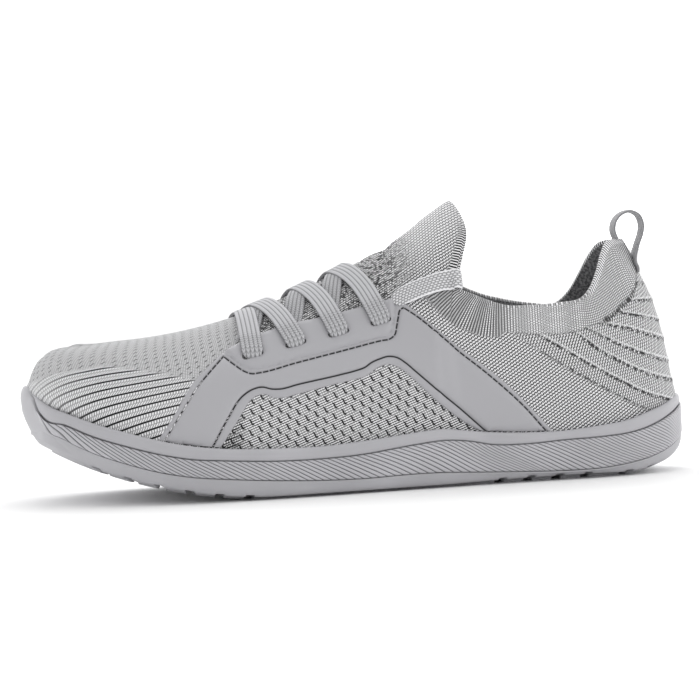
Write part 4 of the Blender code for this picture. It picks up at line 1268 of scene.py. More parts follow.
def knit_side(grid):
    """Points of one side, their normals and the values that the finish needs."""
    skin, normal = grid["skin"], grid["normal"]
    values = {name: grid[name] for name in ("top_gap", "forward", "rim_run")}
    values.update({**front_zones(grid), **tongue_zones(grid), **collar_zones(grid)})
    vamp = 1
    for name in ("toe", "window", "cuff", "heel", "quarter", "tongue", "throat"):
        vamp = vamp - values[name]
    values["vamp"] = np.clip(vamp, 0, 1)
    lift = knit_relief(grid, values)
    outward = unit(skin[:, -1:] - skin[:, -3:-2])
    back_off = RIM_ROLL * (1 - np.clip(grid["top_gap"] / ROLL_ROOM, 0, 1)) * (grid["t"] > TONGUE_TIP)
    return skin + normal * lift[..., None] - outward * back_off[..., None], normal, values


knit_skins = {side: knit_side(grid) for side, grid in knit_grids.items()}
print("knit values:", len(knit_skins[1][2]))

# %% [markdown]
# ## Stitches as formulas
# The knit changes from zone to zone. Each zone's formula gives a pit, 1 at the bottom between yarns and
# 0 on top of a stitch; pits are dark and deep. Two shapes come up again and again: lines of dashes and
# slanting holes.

# %% Stitch shapes


def stitch_lines(x, z, degrees, pitch, pick, low, high, spread=0.0):
    """Dark dashes in lines that rise to the heel at an angle.

    A spread keeps the lines apart where the knit turns away.
    """
    turn = math.radians(degrees)
    along = x * math.cos(turn) + z * math.sin(turn)
    row = (z * math.cos(turn) - x * math.sin(turn) + spread) * (1 / pitch)
    dash = (along * (1 / pick) + row.whole() * 0.5).wave()
    return (1.0 - row.wave().step(low, high)) * (0.15 + 0.85 * dash.step(0.05, 0.45))


def slanting_hole(across, upwards, lean, half_width, half_height):
    """Dark slot round zero that leans to the left at its top."""
    beside = (across + upwards * lean).math("ABSOLUTE")
    return ((1.0 - beside.step(0.4 * half_width, 1.5 * half_width))
            * (1.0 - upwards.math("ABSOLUTE").step(0.75 * half_height, 1.2 * half_height)))


print("stitch shapes: 2")

# %% [markdown]
# ## Toe and vamp stitches
# The toe shows dark grooves between its ribs, with slanting picks on each rib. The vamp is a fine weave
# with rows of small holes, each row set off from the last. A picture of knit could be laid on instead,
# but would stretch where the toe curves.

# %% Toe and vamp stitches
HOLE_ALONG, HOLE_UP = 3.65, 2.7


def toe_knit(x, rib, forward):
    groove = 1.0 - rib.wave().step(0.04, 0.17)
    strength = x.step(-136.0, -104.0) * 0.5 + 0.5
    chevron = (rib.fraction() - 0.5).math("ABSOLUTE")
    picks = (forward * (1 / 0.95) + chevron * 1.2).wave()
    middle = (1.0 - (rib + 0.5).wave().step(0.0, 0.12)) * 0.4
    return (groove * strength).most(middle).most((1.0 - picks.step(0.0, 0.8)) * 0.6)


def vamp_knit(top_gap, forward):
    row = top_gap * (1 / HOLE_UP)
    column = forward * (1 / HOLE_ALONG) + row.whole() * 0.35
    across, upwards = (column.fraction() - 0.5) * HOLE_ALONG, (row.fraction() - 0.5) * HOLE_UP
    hole = slanting_hole(across, upwards, 0.3, 0.40, 0.66)
    loops = top_gap * (1 / 0.8)
    weave = (forward * (1 / 0.9) + loops.whole() * 0.5).wave() * loops.wave()
    return (hole * 0.8).most((1.0 - weave.step(0.0, 0.7)) * 0.34 + 0.18)


print("vamp holes every", HOLE_ALONG, "by", HOLE_UP, "mm")

# %% [markdown]
# ## Window stitches
# The window's mesh repeats along two slanting directions, so a place is turned into counts along both.
# Each cell holds one slanting hole with a small foot and head, over fine dashed lines. Real holes would
# need very many faces, and what lies behind them is dark anyway.

# %% Window stitches
MESH_ALONG, MESH_UP = (3.90, 1.42), (0.545, 4.09)


def window_knit(x, z):
    area = MESH_ALONG[0] * MESH_UP[1] - MESH_ALONG[1] * MESH_UP[0]
    mesh_p = x * (MESH_UP[1] / area) - z * (MESH_UP[0] / area)
    mesh_q = z * (MESH_ALONG[0] / area) - x * (MESH_ALONG[1] / area)
    part_p, part_q = mesh_p.fraction() - 0.5, mesh_q.fraction() - 0.5
    across = part_p * MESH_ALONG[0] + part_q * MESH_UP[0]
    upwards = part_p * MESH_ALONG[1] + part_q * MESH_UP[1]
    mesh_hole = slanting_hole(across, upwards, 0.36, 0.36, 0.95)
    mesh_foot = slanting_hole(across - 0.62, upwards + 0.95, 0.0, 0.42, 0.34)
    mesh_head = slanting_hole(across + 0.58, upwards - 0.85, 0.0, 0.36, 0.30)
    rows = mesh_q * 4.0
    dashes = (0.2 + 0.8 * (mesh_p * 4.0 + rows.whole() * 0.5).wave().step(0.05, 0.45))
    lines = (1.0 - rows.wave().step(0.45, 0.85)) * dashes
    return mesh_hole.most(mesh_foot).most(mesh_head).most(lines * 0.92)


print("mesh steps:", MESH_ALONG, MESH_UP)

# %% [markdown]
# ## Heel stitches
# The heel has steep dashed lines, pale raised ridges and a loose dark shadow under each ridge. The
# ridges are raised in the mesh already, so the finish mostly has to brighten them.

# %% Heel stitches


def heel_ridge(number):
    """1 along a ridge of the heel."""
    ridge_line = ((number + 0.5).fraction() - 0.5).math("ABSOLUTE")
    return (1.0 - ridge_line.step(0.03, 0.10)) * number.step(-0.3, -0.1) * (1.0 - number.step(5.1, 5.3))


def heel_knit(tree, x, y, z, number):
    # painted shadow: below_ridge is a loose dark band under each ridge
    below_ridge = (1.0 - number.fraction().step(0.16, 0.34)) * grain(tree, 1.3, 2.0).step(0.46, 0.58)
    steep = stitch_lines(x, z, 64.0, 1.20, 1.35, 0.5, 0.94, (y - 1.4).math("ABSOLUTE") * 0.6)
    return steep.most(below_ridge * 0.9).most(0.08) * (1.0 - 0.55 * heel_ridge(number))


print("heel stitches ready")

# %% [markdown]
# ## Cuff stitches
# Ribs run down the front of the cuff and fade into fine dots towards the heel. A narrow edge of
# slanting stitches binds the collar's back. The count along the rim makes the ribs follow the collar's
# bend, which a straight pattern could not.

# %% Cuff stitches
CUFF_PITCH = 1.12


def cuff_knit(x, top_gap, cuff_run):
    fade = 1.0 - x.step(50.0, 76.0)
    rib = cuff_run * (1 / CUFF_PITCH)
    ribs = 1.0 - rib.wave().step(0.3, 0.75)
    dots = (1.0 - (top_gap * (1 / 1.2) + rib.whole() * 0.5).wave().step(0.15, 0.7)) * ribs
    fine = (top_gap * (1 / 0.95) + cuff_run.whole() * 0.5).wave() * cuff_run.wave()
    fine_dots = (1.0 - fine.step(0.05, 0.5)) * (0.42 + 0.3 * x.step(78.0, 96.0))
    return (ribs * fade * 0.84).most(dots * 0.82 * (1.0 - x.step(84.0, 96.0))).most(fine_dots)


def edge_knit(top_gap, rim_run):
    return (1.0 - (rim_run * (1 / 1.2) + top_gap * 0.2).wave().step(0.1, 0.6)) * 0.9


print("cuff ribs every", CUFF_PITCH, "mm")

# %% [markdown]
# ## Tongue, throat and seam stitches
# Tongue and throat carry dashed lines that rise to the heel; the throat is rougher. The hem is a row of
# upright stitches, and a loose seam joins heel and cuff. All are formulas of place or of a distance, so
# the surface needs no unwrapping.

# %% Tongue, throat and seam stitches
RIDGE_Y, TONGUE_ANGLE, HEM_PITCH = 3.4, 33.0, 1.25


def tongue_knit(x, y, z):
    from_ridge = (y - RIDGE_Y).math("ABSOLUTE") * -0.45
    paler = 1.0 - 0.3 * (z - 0.65 * x).step(66.0, 84.0)
    return stitch_lines(x, z, TONGUE_ANGLE, 1.30, 1.45, 0.5, 0.95, from_ridge) * paler


def throat_knit(tree, x, y, z):
    from_ridge = (y - RIDGE_Y).math("ABSOLUTE") * -0.45
    lines = stitch_lines(x, z, TONGUE_ANGLE, 1.05, 1.25, 0.3, 0.95, from_ridge)
    return lines.most(grain(tree, 1.1, 2.0).step(0.47, 0.60) * 0.85)


def hem_knit(hem_run):
    return 1.0 - (hem_run * (1 / HEM_PITCH)).wave().step(0.3, 0.8)


def seam_knit(tree, x, z):
    stitches = 1.0 - (x * (1 / 1.5) + z * (1 / 2.4)).wave().step(0.2, 0.7)
    return stitches.most(grain(tree, 2.2, 2.0).step(0.5, 0.6)) * 0.9


print("hem stitches every", HEM_PITCH, "mm")

# %% [markdown]
# ## Knit finish
# The finish adds up the pits of all zones by how much of each zone a point belongs to, and turns the
# sum into light and dark yarn and a bump. One material for all zones lets them blend without a border.

# %% Knit finish
KNIT_LIGHT, KNIT_DARK = (0.96, 0.96, 0.975), (0.008, 0.008, 0.009)


def knit_finish():
    material, tree, surface = shader("knit")
    plain_finish(surface, KNIT_LIGHT, 0.92, sheen=0.05)
    x, y, z = place_of(tree)
    of = {name: value_of(tree, name) for name in knit_skins[1][2]}
    top_gap, forward, number = of["top_gap"], of["forward"], of["ridge"]
    cuff, edge = cuff_knit(x, top_gap, of["cuff_run"]), edge_knit(top_gap, of["rim_run"])
    tongue, hem = tongue_knit(x, y, z), hem_knit(of["hem_run"])
    pits = (
        toe_knit(x, of["rib"], forward) * of["toe"]
        + vamp_knit(top_gap, forward) * of["vamp"]
        + window_knit(x, z) * of["window"]
        + stitch_lines(x, z, 34.0, 1.18, 1.40, 0.5, 0.92) * of["quarter"]
        + heel_knit(tree, x, y, z, number) * of["heel"]
        + throat_knit(tree, x, y, z) * of["throat"]
        + (cuff * (1.0 - of["edge"]) + edge * of["edge"]) * of["cuff"]
        + (tongue * (1.0 - of["hem"]) + hem * of["hem"]) * of["tongue"]
    ).most(seam_knit(tree, x, z) * of["seam"])
    fuzz = grain(tree, 0.5, 3.0)
    light = (1.0 - pits).most(0.0).math("POWER", 1.35) * (0.80 + 0.4 * fuzz)
    colour_between(tree, surface, light.least(1.0).most(0.0), KNIT_DARK, KNIT_LIGHT)
    height = (1.0 - pits) * 0.8 + fuzz * 0.1 + heel_ridge(number) * of["heel"] * 0.6
    raised_by(tree, surface, height, 0.4)
    return material


KNIT = knit_finish()
print("knit finish", len(KNIT.node_tree.nodes), "nodes")

# %% [markdown]
# ## Upper skin and rolled rim
# The two grids become one mesh. Along the opening the knit is folded over, so a half circle of points
# rolls inwards from the edge and runs down a little inside. At both ends of the opening the two sides
# share their directions, so that the rolls meet.

# %% Upper skin and rolled rim
shape = bmesh.new()
rim = knit_t >= TONGUE_TIP - 1e-9
rim_ways = {side: [unit(skin[rim, -1] - skin[rim, -3]), np.array(normal[rim, -1])]
            for side, (skin, normal, _) in knit_skins.items()}
for outer_way, inner_way in zip(rim_ways[-1], rim_ways[1]):
    for end in (0, -1):
        outer_way[end] = inner_way[end] = unit(outer_way[end] + inner_way[end])
for side in (-1, 1):
    skin, normal, values = knit_skins[side]
    patch(shape, skin, values)
    edge, (outward, edge_normal) = skin[rim, -1], rim_ways[side]
    angle = np.linspace(0, math.pi, 7)
    roll = (edge[None] + edge_normal[None] * (RIM_ROLL * (np.cos(angle) - 1))[:, None, None]
            + outward[None] * (RIM_ROLL * np.sin(angle))[:, None, None])
    inside = (edge[None] - edge_normal[None] * 2 * RIM_ROLL
              - outward[None] * np.array([2.0, 5.0])[:, None, None])
    rim_values = {name: value[rim, -1][None] for name, value in values.items()}
    patch(shape, np.concatenate([roll, inside]), rim_values)
weld(shape, 6e-6)
piece("knit_upper", shape, KNIT, ["upper"])

# %% [markdown]
# ## The lining
# Inside, the collar shows a darker brushed lining. It is the same skin moved inwards, on a coarser
# grid. A solidify modifier would make one too, but not stop short of the rolled rim.

# %% Lining
LINING_GAP, LINING_TOP = 0.15, 0.018


def lining_finish():
    material, tree, surface = shader("lining")
    plain_finish(surface, (0.2, 0.2, 0.21), 0.95, sheen=0.2)
    loops_seen = grain(tree, 0.9, 3.0)
    colour_between(tree, surface, loops_seen.step(0.35, 0.7), (0.10, 0.10, 0.105), (0.34, 0.34, 0.35))
    raised_by(tree, surface, loops_seen, 0.4)
    return material


LINING = lining_finish()
shape = bmesh.new()
lining_t = np.concatenate([np.linspace(0, 0.6, 60)[:-1], np.linspace(0.6, TONGUE_TIP, 6)[:-1],
                           np.linspace(TONGUE_TIP, 0.69, 26)[:-1], np.linspace(0.69, 1.0, 50)])
for side in (-1, 1):
    w = side * np.maximum(np.linspace(0.995, 0, 40), 1e-9)
    t, w = np.meshgrid(lining_t, w, indexing="ij")
    w = np.where(t > TONGUE_TIP + 0.002, side * np.maximum(np.abs(w), LINING_TOP), w)
    patch(shape, (upper_point(t, w) - upper_normal(t, w) * (KNIT_WALL + LINING_GAP))[:, ::-1])
weld(shape, 6e-6)
piece("collar_lining", shape, LINING)

# %% [markdown]
# ## Insole
# A loose sock liner lies on the footbed. It hardly shows, so a few loops with a round edge are enough.

# %% Insole
insole_t = end_spaced(90)
INSOLE_ROWS = ((6.8, 0.3), (6.7, 1.8), (6.9, 2.6), (7.6, 3.1), (9.0, 3.3))
loops = [sole_loop(insole_t, inset, lambda x: bed(x) + above) for inset, above in INSOLE_ROWS]
piece("sock_liner", sole_body(insole_t, loops), LINING, ["insole"])

# %% [markdown]
# ## Overlay and eyestay
# One smooth film is fused to each side of the knit: an A-shaped panel round a window, and the eyestay
# island along the throat. It is drawn flat in side view first. The rows below are its outlines, its
# stitch lines and its lace slots.

# %% Film outlines
FILM_OUTER = (
    (-86.4, 25.6), (-81.5, 32.0), (-76.8, 38.8), (-72.1, 45.5), (-65.0, 51.8), (-57.0, 57.8),
    (-51.0, 60.6), (-44.9, 62.9), (-29.2, 67.2), (-18.7, 69.1), (-7.2, 71.4), (2.0, 73.4), (8.2, 74.8),
    (12.5, 75.6), (15.6, 75.0), (18.4, 72.7), (21.6, 69.7), (28.6, 63.1), (37.3, 55.3), (46.4, 47.8),
    (55.3, 40.0), (64.2, 30.5), (73.2, 20.3),
)
FILM_WINDOW = (
    (42.4, 21.9), (35.2, 26.9), (26.3, 34.4), (17.4, 43.5), (13.8, 47.0), (10.9, 49.0), (7.8, 49.9),
    (5.0, 49.5), (1.1, 47.7), (-2.0, 45.7), (-6.0, 44.9), (-18.6, 42.6), (-30.3, 40.3), (-37.0, 39.1),
    (-40.0, 39.4), (-43.0, 40.8), (-47.2, 40.2), (-49.9, 38.2), (-53.1, 34.0), (-62.4, 21.2),
)
STITCH_OUTER = (
    ((-84.0, 25.0), (-75.8, 36.6), (-69.0, 45.4), (-63.0, 51.2), (-57.8, 55.9)),
    (
        (16.4, 71.9), (20.2, 69.1), (28.6, 61.5), (37.2, 53.4), (46.2, 45.7), (55.2, 37.4), (61.8, 30.7),
        (70.6, 20.2),
    ),
)
STITCH_WINDOW = (
    (45.6, 21.4), (35.4, 31.1), (27.6, 38.0), (17.9, 47.1), (14.6, 50.2), (11.6, 52.3), (8.1, 53.0),
    (4.4, 52.2), (0.6, 50.8), (-2.0, 49.2), (-5.4, 48.2), (-12.4, 46.8), (-29.8, 43.9), (-37.4, 42.5),
    (-40.6, 42.7), (-43.9, 43.6), (-48.3, 42.8), (-51.9, 40.8), (-59.0, 32.1), (-65.8, 21.4),
)
STITCH_V = (
    (-57.8, 55.9), (-54.0, 52.6), (-50.4, 49.9), (-47.8, 48.9), (-44.6, 49.1), (-30.0, 52.1),
    (-8.5, 56.4), (5.9, 59.3), (9.6, 59.9), (11.6, 61.4), (12.6, 64.2), (13.8, 68.2), (15.0, 71.2),
    (16.4, 71.9),
)
ISLAND_EDGE = (
    (-57.4, 57.5), (-53.4, 54.2), (-50.2, 51.6), (-47.6, 50.6), (-44.4, 50.8), (-30.0, 53.6),
    (-8.5, 57.7), (5.0, 60.4), (8.6, 61.2), (10.2, 62.8), (11.2, 65.6), (12.4, 70.0), (13.6, 75.6),
)
SLOT_ROWS = ((-46.3, 55.6), (-28.6, 59.2), (-11.0, 62.7), (6.5, 66.6))
SLOT_LENGTH, SLOT_WIDTH, SLOT_TILT = 8.8, 2.2, math.radians(14.0)
print("film rows:", len(FILM_OUTER), "outside,", len(FILM_WINDOW), "round the window")

# %% [markdown]
# ## Tools for flat lines
# Flat drawing needs a few tools: even spacing, a line beside a line, the slot's round-ended loop, the
# distance to a line and the test whether a point lies inside a loop.

# %% Line tools


def spaced(points, pitch=0.8):
    """Smooth curve through points, as evenly spaced points about a pitch apart."""
    points = np.asarray(points, float)
    rough = np.linalg.norm(np.diff(points, axis=0), axis=1).sum()
    return resample(points, max(4, int(rough / pitch)))


def shifted(line, by):
    """A line moved sideways to its left."""
    along = unit(np.gradient(line, axis=0))
    return line + by * np.stack([-along[:, 1], along[:, 0]], -1)


def slot_loop(x, z):
    """Round-ended slot in side view."""
    straight = (SLOT_LENGTH - SLOT_WIDTH) / 2
    along = np.array([math.cos(SLOT_TILT), math.sin(SLOT_TILT)])
    cross = np.array([-along[1], along[0]])
    turn = np.linspace(-math.pi / 2, math.pi / 2, 7)
    ends = along * (straight + SLOT_WIDTH / 2 * np.cos(turn))[:, None]
    half = ends + cross * (SLOT_WIDTH / 2 * np.sin(turn))[:, None]
    return np.array([x, z]) + np.concatenate([half, -half])


def distance_to(points, line):
    """Distance of each point to a run of straight pieces."""
    best = np.full(len(points), np.inf)
    for a, b in zip(line[:-1], line[1:]):
        along = b - a
        s = np.clip(((points - a) @ along) / max(along @ along, 1e-12), 0, 1)
        best = np.minimum(best, np.linalg.norm(points - a - s[:, None] * along, axis=1))
    return best


def inside_of(points, loop):
    """Which points lie inside a closed loop."""
    hit = np.zeros(len(points), bool)
    for a, b in zip(loop, np.roll(loop, -1, axis=0)):
        crosses = (a[1] > points[:, 1]) != (b[1] > points[:, 1])
        x = a[0] + (points[:, 1] - a[1]) * (b[0] - a[0]) / (b[1] - a[1] if b[1] != a[1] else 1e-12)
        hit ^= crosses & (points[:, 0] < x)
    return hit


print("slot loop:", len(slot_loop(0.0, 0.0)), "points")

# %% [markdown]
# ## Lines of the film
# The outlines become evenly spaced points. At the foot the film ends just above the sole's lip, so that
# edge is read from the side table.

# %% Lines of the film
LIP_GAP, LIP_STEP = 0.25, 0.9


def along_lip(x_from, x_to):
    x = np.linspace(x_from, x_to, max(3, int(abs(x_to - x_from) / LIP_STEP)))
    return np.stack([x, side_height("lip", x) + LIP_GAP], -1)


outer_line, window_line = spaced(FILM_OUTER), spaced(FILM_WINDOW)
rear_foot = along_lip(outer_line[-1, 0], window_line[0, 0])
front_foot = along_lip(window_line[-1, 0], outer_line[0, 0])
film_loop = np.concatenate([outer_line, rear_foot[1:-1], window_line, front_foot[1:-1]])
stitch_front, stitch_rear = spaced(STITCH_OUTER[0]), spaced(STITCH_OUTER[1])
stitch_v, stitch_window, island_line = spaced(STITCH_V), spaced(STITCH_WINDOW), spaced(ISLAND_EDGE)
stitches = (stitch_front, stitch_rear, stitch_v, stitch_window)
panel_loop = np.concatenate([stitch_front, stitch_v[1:], stitch_rear[1:], stitch_window])
throat = outer_line[(outer_line[:, 0] > -57.2) & (outer_line[:, 0] < 13.7) & (outer_line[:, 1] > 57)]
island_loop = np.concatenate([island_line, throat[::-1]])
print("film outline", len(film_loop), "points, panel", len(panel_loop))

# %% [markdown]
# ## Height of the film
# The film is thin at its rim, thicker on the panel, thickest on the eyestay, and pressed down along the
# stitch grooves and round the slots. How far a point is from those lines decides its height.

# %% Height of the film
FLANGE, PANEL, ISLAND, GROOVE = 0.75, 1.25, 1.9, 0.15
GROOVE_HALF = 0.55


def film_height(points):
    """How far the film stands off the knit at side-view points."""
    edge = np.minimum(distance_to(points, outer_line), distance_to(points, window_line))
    panel = inside_of(points, panel_loop)
    island = inside_of(points, island_loop)
    stitch = np.minimum.reduce([distance_to(points, line) for line in stitches])
    height = np.where(panel, FLANGE + (PANEL - FLANGE) * ease(stitch, 0.2, 1.6), FLANGE)
    border = distance_to(points, island_line)
    height = np.where(island, FLANGE + (ISLAND - FLANGE) * np.sqrt(ease(border, -0.1, 1.7)), height)
    height = np.where(~island, height - 0.25 * (1 - ease(border, 0.0, 0.9)), height)
    height = GROOVE + (height - GROOVE) * ease(stitch, 0.12, GROOVE_HALF)
    slots = [np.vstack([slot_loop(*row), slot_loop(*row)[:1]]) for row in SLOT_ROWS]
    slot = np.minimum.reduce([distance_to(points, loop) for loop in slots])
    height = height - 0.35 * (1 - ease(slot, 0.0, 0.8)) * island
    return 0.2 + (height - 0.2) * np.sqrt(ease(edge, -0.05, 0.9))


print("film heights:", FLANGE, PANEL, ISLAND)

# %% [markdown]
# ## Flat mesh of the film
# A triangulation that is held to given edges puts mesh lines along every outline and groove, so that
# the steps in height stay crisp. A regular grid would cut across them.

# %% Flat mesh of the film
FILM_PITCH = 1.7


def flat_film():
    """Triangles of the film in side view, with edges along its outlines and grooves."""
    corners, edges = [], []

    def add_line(line, closed=False):
        first = len(corners)
        corners.extend(line.tolist())
        edges.extend((first + i, first + i + 1) for i in range(len(line) - 1))
        if closed:
            edges.append((len(corners) - 1, first))

    add_line(film_loop, True)
    slots = [slot_loop(*row) for row in SLOT_ROWS]
    for loop in slots:
        add_line(loop, True)
    for line in stitches:
        for by in (-1.2, -GROOVE_HALF, -0.15, 0.15, GROOVE_HALF, 1.2):
            add_line(shifted(line, by))
    for line in (outer_line, window_line):
        for by in (0.3, 0.9, -0.3, -0.9):
            add_line(shifted(line, by))
    for by in (-0.8, 0.0, 0.5, 1.1, 1.8):
        add_line(shifted(island_line, by))
    low, high = film_loop.min(axis=0), film_loop.max(axis=0)
    x, z = np.meshgrid(np.arange(low[0], high[0], FILM_PITCH), np.arange(low[1], high[1], FILM_PITCH))
    x = x + FILM_PITCH / 2 * (np.arange(len(x))[:, None] % 2)
    corners.extend(np.stack([x, z], -1).reshape(-1, 2).tolist())
    made = delaunay_2d_cdt([Vector(c) for c in corners], edges, [], 0, 1e-4)
    points = np.array([tuple(v) for v in made[0]])
    faces = np.array([face for face in made[2] if len(face) == 3])
    middle = points[faces].mean(axis=1)
    keep = inside_of(middle, film_loop)
    for loop in slots:
        keep &= ~inside_of(middle, loop)
    return points, faces[keep]


film_points, film_faces = flat_film()
used = np.unique(film_faces)
renumber = np.full(len(film_points), -1)
renumber[used] = np.arange(len(used))
film_points, film_faces = film_points[used], renumber[film_faces]
film_heights = film_height(film_points)
print("film", len(film_points), "points", len(film_faces), "triangles")

# %% [markdown]
# ## Film finish
# The film is smooth and satin with a fine leathery grain. Its stitch grooves are painted dark as painted
# shade, three of them dashed where the grey thread crosses. A wave along the line makes the dashes, which
# is simpler than thread as geometry.

# %% Film finish
FILM_GREY = (0.405, 0.402, 0.422)
STITCH_PITCH = 2.8


def film_finish():
    """Moulded film: smooth satin face with a fine leathery grain, with painted shade in the stitch grooves.
    """
    material, tree, surface = shader("film")
    plain_finish(surface, FILM_GREY, 0.42, specular=0.4)
    gap, run, dashed = (value_of(tree, name) for name in ("stitch_gap", "stitch_run", "dashed"))
    thread = (run * (1 / STITCH_PITCH)).wave().step(0.0, 0.16)
    # painted shade: the stitch grooves are dark, broken where the grey thread crosses on the dashed lines
    line = (1.0 - gap.step(0.16, 0.48)) * (1.0 - dashed * (1.0 - thread))
    colour_between(tree, surface, line, FILM_GREY, (0.02, 0.02, 0.022))
    raised_by(tree, surface, grain(tree, 0.45, 3.0), 0.025)
    return material


FILM = film_finish()
print("film finish", len(FILM.node_tree.nodes), "nodes")

# %% [markdown]
# ## Stitches of the film
# The finish needs to know how far each point is from its nearest stitch line and how far along that
# line it lies, for the dashes.

# %% Stitch values
FAR_OFF = 9.0


def along_line(points, line):
    """Distance of each point to a line, and how far along the line its nearest place is."""
    best, run, travelled = np.full(len(points), np.inf), np.zeros(len(points)), 0.0
    for a, b in zip(line[:-1], line[1:]):
        step = b - a
        length = float(np.linalg.norm(step))
        s = np.clip(((points - a) @ step) / max(length * length, 1e-12), 0, 1)
        gap = np.linalg.norm(points - a - s[:, None] * step, axis=1)
        run = np.where(gap < best, travelled + s * length, run)
        best = np.minimum(best, gap)
        travelled += length
    return best, run


film_values = {name: np.zeros(len(film_points)) for name in ("stitch_gap", "stitch_run", "dashed")}
film_values["stitch_gap"] += FAR_OFF
for line, dashed in zip(stitches, (1.0, 1.0, 1.0, 0.0)):
    gap, run = along_line(film_points, line)
    nearer = gap < film_values["stitch_gap"]
    for name, value in (("stitch_gap", gap), ("stitch_run", run), ("dashed", dashed)):
        film_values[name] = np.where(nearer, value, film_values[name])
print("points by a stitch:", int((film_values["stitch_gap"] < GROOVE_HALF).sum()))

# %% [markdown]
# ## Film pieces
# Each point of the flat mesh is laid on the upper and the faces are extruded outwards. The new points
# take their height and values from the flat mesh, found again by place.

# %% Film pieces
FILM_FOOT = 0.1
for side, word in ((-1, "lateral"), (1, "medial")):
    t, w = on_side(film_points[:, 0], film_points[:, 1], side)
    base, normal = upper_point(t, w), upper_normal(t, w)
    shape = bmesh.new()
    for name in film_values:
        shape.verts.layers.float.new(name)
    layers = {name: shape.verts.layers.float[name] for name in film_values}
    corners = [shape.verts.new(Vector(p) * MM) for p in base + normal * FILM_FOOT]
    for face in film_faces:
        shape.faces.new([corners[i] for i in face])
    made = bmesh.ops.extrude_face_region(shape, geom=list(shape.faces))
    shape.verts.ensure_lookup_table()
    raised = base + normal * film_heights[:, None]
    finder = KDTree(len(base))
    for index, point in enumerate(base + normal * FILM_FOOT):
        finder.insert(Vector(point) * MM, index)
    finder.balance()
    for item in made["geom"]:
        if isinstance(item, bmesh.types.BMVert):
            index = finder.find(item.co)[1]
            item.co = Vector(raised[index]) * MM
            for name, layer in layers.items():
                item[layer] = film_values[name][index]
    bmesh.ops.recalc_face_normals(shape, faces=shape.faces)
    piece(f"film_{word}", shape, FILM, [f"overlay_{word}", f"eyestay_{word}"], 60)

# %% [markdown]
# ## Lace tools
# A strand starts in an eyelet, rises through it and lies over the instep. It follows the surface of the
# upper at heights above it, and the band helper gives it its flat section.

# %% Lace tools
LACE_THICKNESS, EYELET_ROUND = 1.5, 4.5
OUT_OF_SLOT, SLOT_HEIGHTS = (0.004, 0.003, -0.012), (0.2, 1.2, 2.2)


def slot_place(number, side):
    x, z = SLOT_ROWS[number]
    t, w = on_side(np.array([x]), np.array([z]), side)
    return float(t[0]), abs(float(w[0]))


def add_strand(shape, t, w, height, rounded):
    """Lace strand over the upper through places t, w at heights above it."""
    centre = upper_point(t, w) + upper_normal(t, w) * height[:, None]
    both = resample(np.hstack([centre, upper_normal(t, w)]), 90)
    centre, normal = both[:, :3], unit(both[:, 3:])
    along = unit(np.gradient(centre, axis=0))
    sideways = unit(np.cross(normal, along))
    add_band(shape, centre, sideways, np.cross(along, sideways), LACE_WIDTH, LACE_THICKNESS, rounded)


print("lace", LACE_WIDTH, "by", LACE_THICKNESS, "mm")

# %% [markdown]
# ## First bar
# The first bar runs straight across from eyelet to eyelet, bowed forward at the ridge and lowest there.
# A straight box would do from afar, but a band laid on the surface follows the instep.

# %% First bar
BAR_RIDGE_T, BAR_POINTS = 0.361, 15
laces = bmesh.new()
t_slot, w_slot = slot_place(0, -1)
rising = w_slot + np.array(OUT_OF_SLOT)
w = np.concatenate([-rising, np.linspace(-w_slot + 0.05, w_slot - 0.05, BAR_POINTS), rising[::-1]])
t = BAR_RIDGE_T + (t_slot - BAR_RIDGE_T) * (w / w_slot) ** 2
bow = 0.4 + 1.6 * np.abs(np.linspace(-1, 1, BAR_POINTS))
add_strand(laces, t, w, np.concatenate([SLOT_HEIGHTS, bow, SLOT_HEIGHTS[::-1]]), (EYELET_ROUND, EYELET_ROUND))
print("first bar from w", round(-w_slot, 3), "to", round(w_slot, 3))

# %% [markdown]
# ## Crossings
# The other strands cross on the instep: those from the outer eyelets lie on top, those from the inner
# eyelets pass under them, and both tuck under the edge of the other eyestay. The rows give the place of
# the crossing and the heights of both strands there.

# %% Crossings
STRAND_ROWS = ((0.386, 1.4, 0.3), (0.450, 1.2, 0.3), (0.502, 1.2, 0.3))
TUCK_W, TUCK_DEPTH, UNDER_SLANT, STRAND_HEIGHT = 0.34, 0.9, 0.04, 2.15
for number, (t_ridge, over, under) in enumerate(STRAND_ROWS, 1):
    for side, mid_height in ((-1, over), (1, under)):
        t_slot, w_slot = slot_place(number, side)
        run = np.linspace(w_slot - 0.05, -TUCK_W, 16)
        w = side * np.concatenate([w_slot + np.array(OUT_OF_SLOT), run])
        reach = (side * w) / w_slot
        t = t_ridge + np.where((side > 0) & (reach < 0), UNDER_SLANT * reach, (t_slot - t_ridge) * reach)
        crest = 1 - ease(run, 0.12, 0.33)
        tuck = 1 - ease(run, -0.27, -0.11)
        mid = STRAND_HEIGHT + (mid_height - STRAND_HEIGHT) * crest - (mid_height + TUCK_DEPTH) * tuck
        add_strand(laces, t, w, np.concatenate([SLOT_HEIGHTS, mid]), (EYELET_ROUND, 0.0))
weld(laces, 1e-7)
piece("lace_crossings", laces, LACE_WEAVE, ["lace"])

# %% [markdown]
# ## Webbing
# The pull loop at the heel is ribbed webbing. Its ribs run lengthwise, with faint cross threads. As for
# the laces, a formula of the distances along and across is enough.

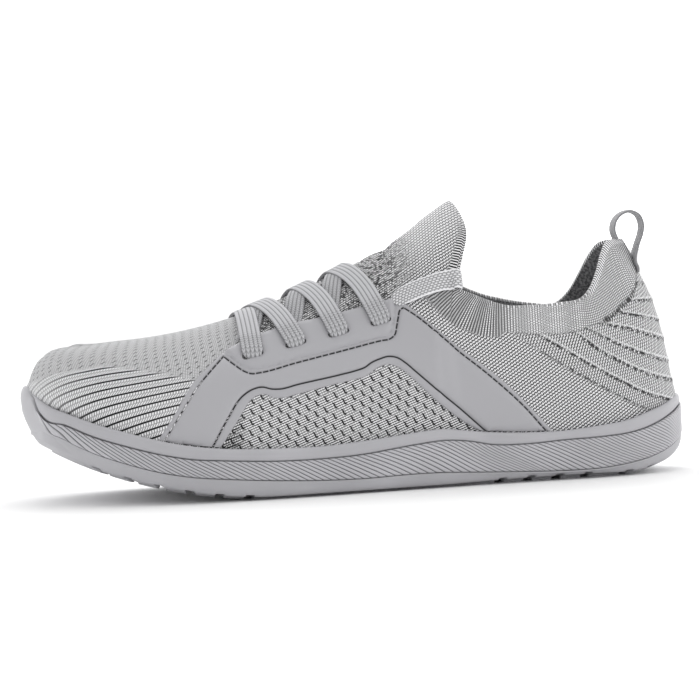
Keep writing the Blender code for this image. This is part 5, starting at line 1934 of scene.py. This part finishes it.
# %% Webbing finish
WEB_RIB, WEB_THREAD = 1.5, 0.8


def webbing_finish():
    material, tree, surface = shader("webbing")
    plain_finish(surface, (0.45, 0.45, 0.46), 0.85)
    run, side = value_of(tree, "run"), value_of(tree, "side")
    rib = (side * (1 / WEB_RIB)).wave() * (0.85 + 0.15 * (run * (1 / WEB_THREAD)).wave())
    colour_between(tree, surface, rib.step(0.0, 0.5), (0.24, 0.24, 0.25), (0.41, 0.41, 0.42))
    raised_by(tree, surface, rib, 0.2)
    return material


WEBBING = webbing_finish()
print("webbing", len(WEBBING.node_tree.nodes), "nodes")

# %% [markdown]
# ## The pull loop
# The strip of webbing stands up from the heel tab, turns over and is sewn to the heel seam. Its free
# part is drawn in side view; its sewn part follows the upper.

# %% Pull loop
LOOP_WIDTH, LOOP_THICKNESS = 9.0, 1.3
LOOP_ROWS = ((110.6, 95.8), (109.5, 99.3), (110.2, 103.0), (113.1, 106.1), (116.9, 107.0), (120.2, 105.3),
             (121.7, 101.3), (121.1, 97.3), (119.5, 93.2))
LOOP_SEAM_W = (0.17, 0.20, 0.225)
SEAM_SHIFT = (-0.3, -0.4, -1.2)
loop_x, loop_z = np.array(LOOP_ROWS).T
free = np.stack([loop_x, np.full(len(LOOP_ROWS), UPPER["y"][-1]), loop_z], -1)
seam = upper_point(np.ones(len(LOOP_SEAM_W)), np.array(LOOP_SEAM_W))
print("heel seam", seam.round(1).tolist())
seam[:, 0] += np.array(SEAM_SHIFT)
centre = resample(np.concatenate([free, seam]), 110)
along = unit(np.gradient(centre, axis=0))
sideways = np.tile([0.0, 1.0, 0.0], (len(centre), 1))
outward = np.cross(sideways, along)
shape = bmesh.new()
add_band(shape, centre - outward * LOOP_THICKNESS / 2, sideways, outward, LOOP_WIDTH, LOOP_THICKNESS)
weld(shape)
piece("heel_loop", shape, WEBBING, ["pull_loop"])

# %% [markdown]
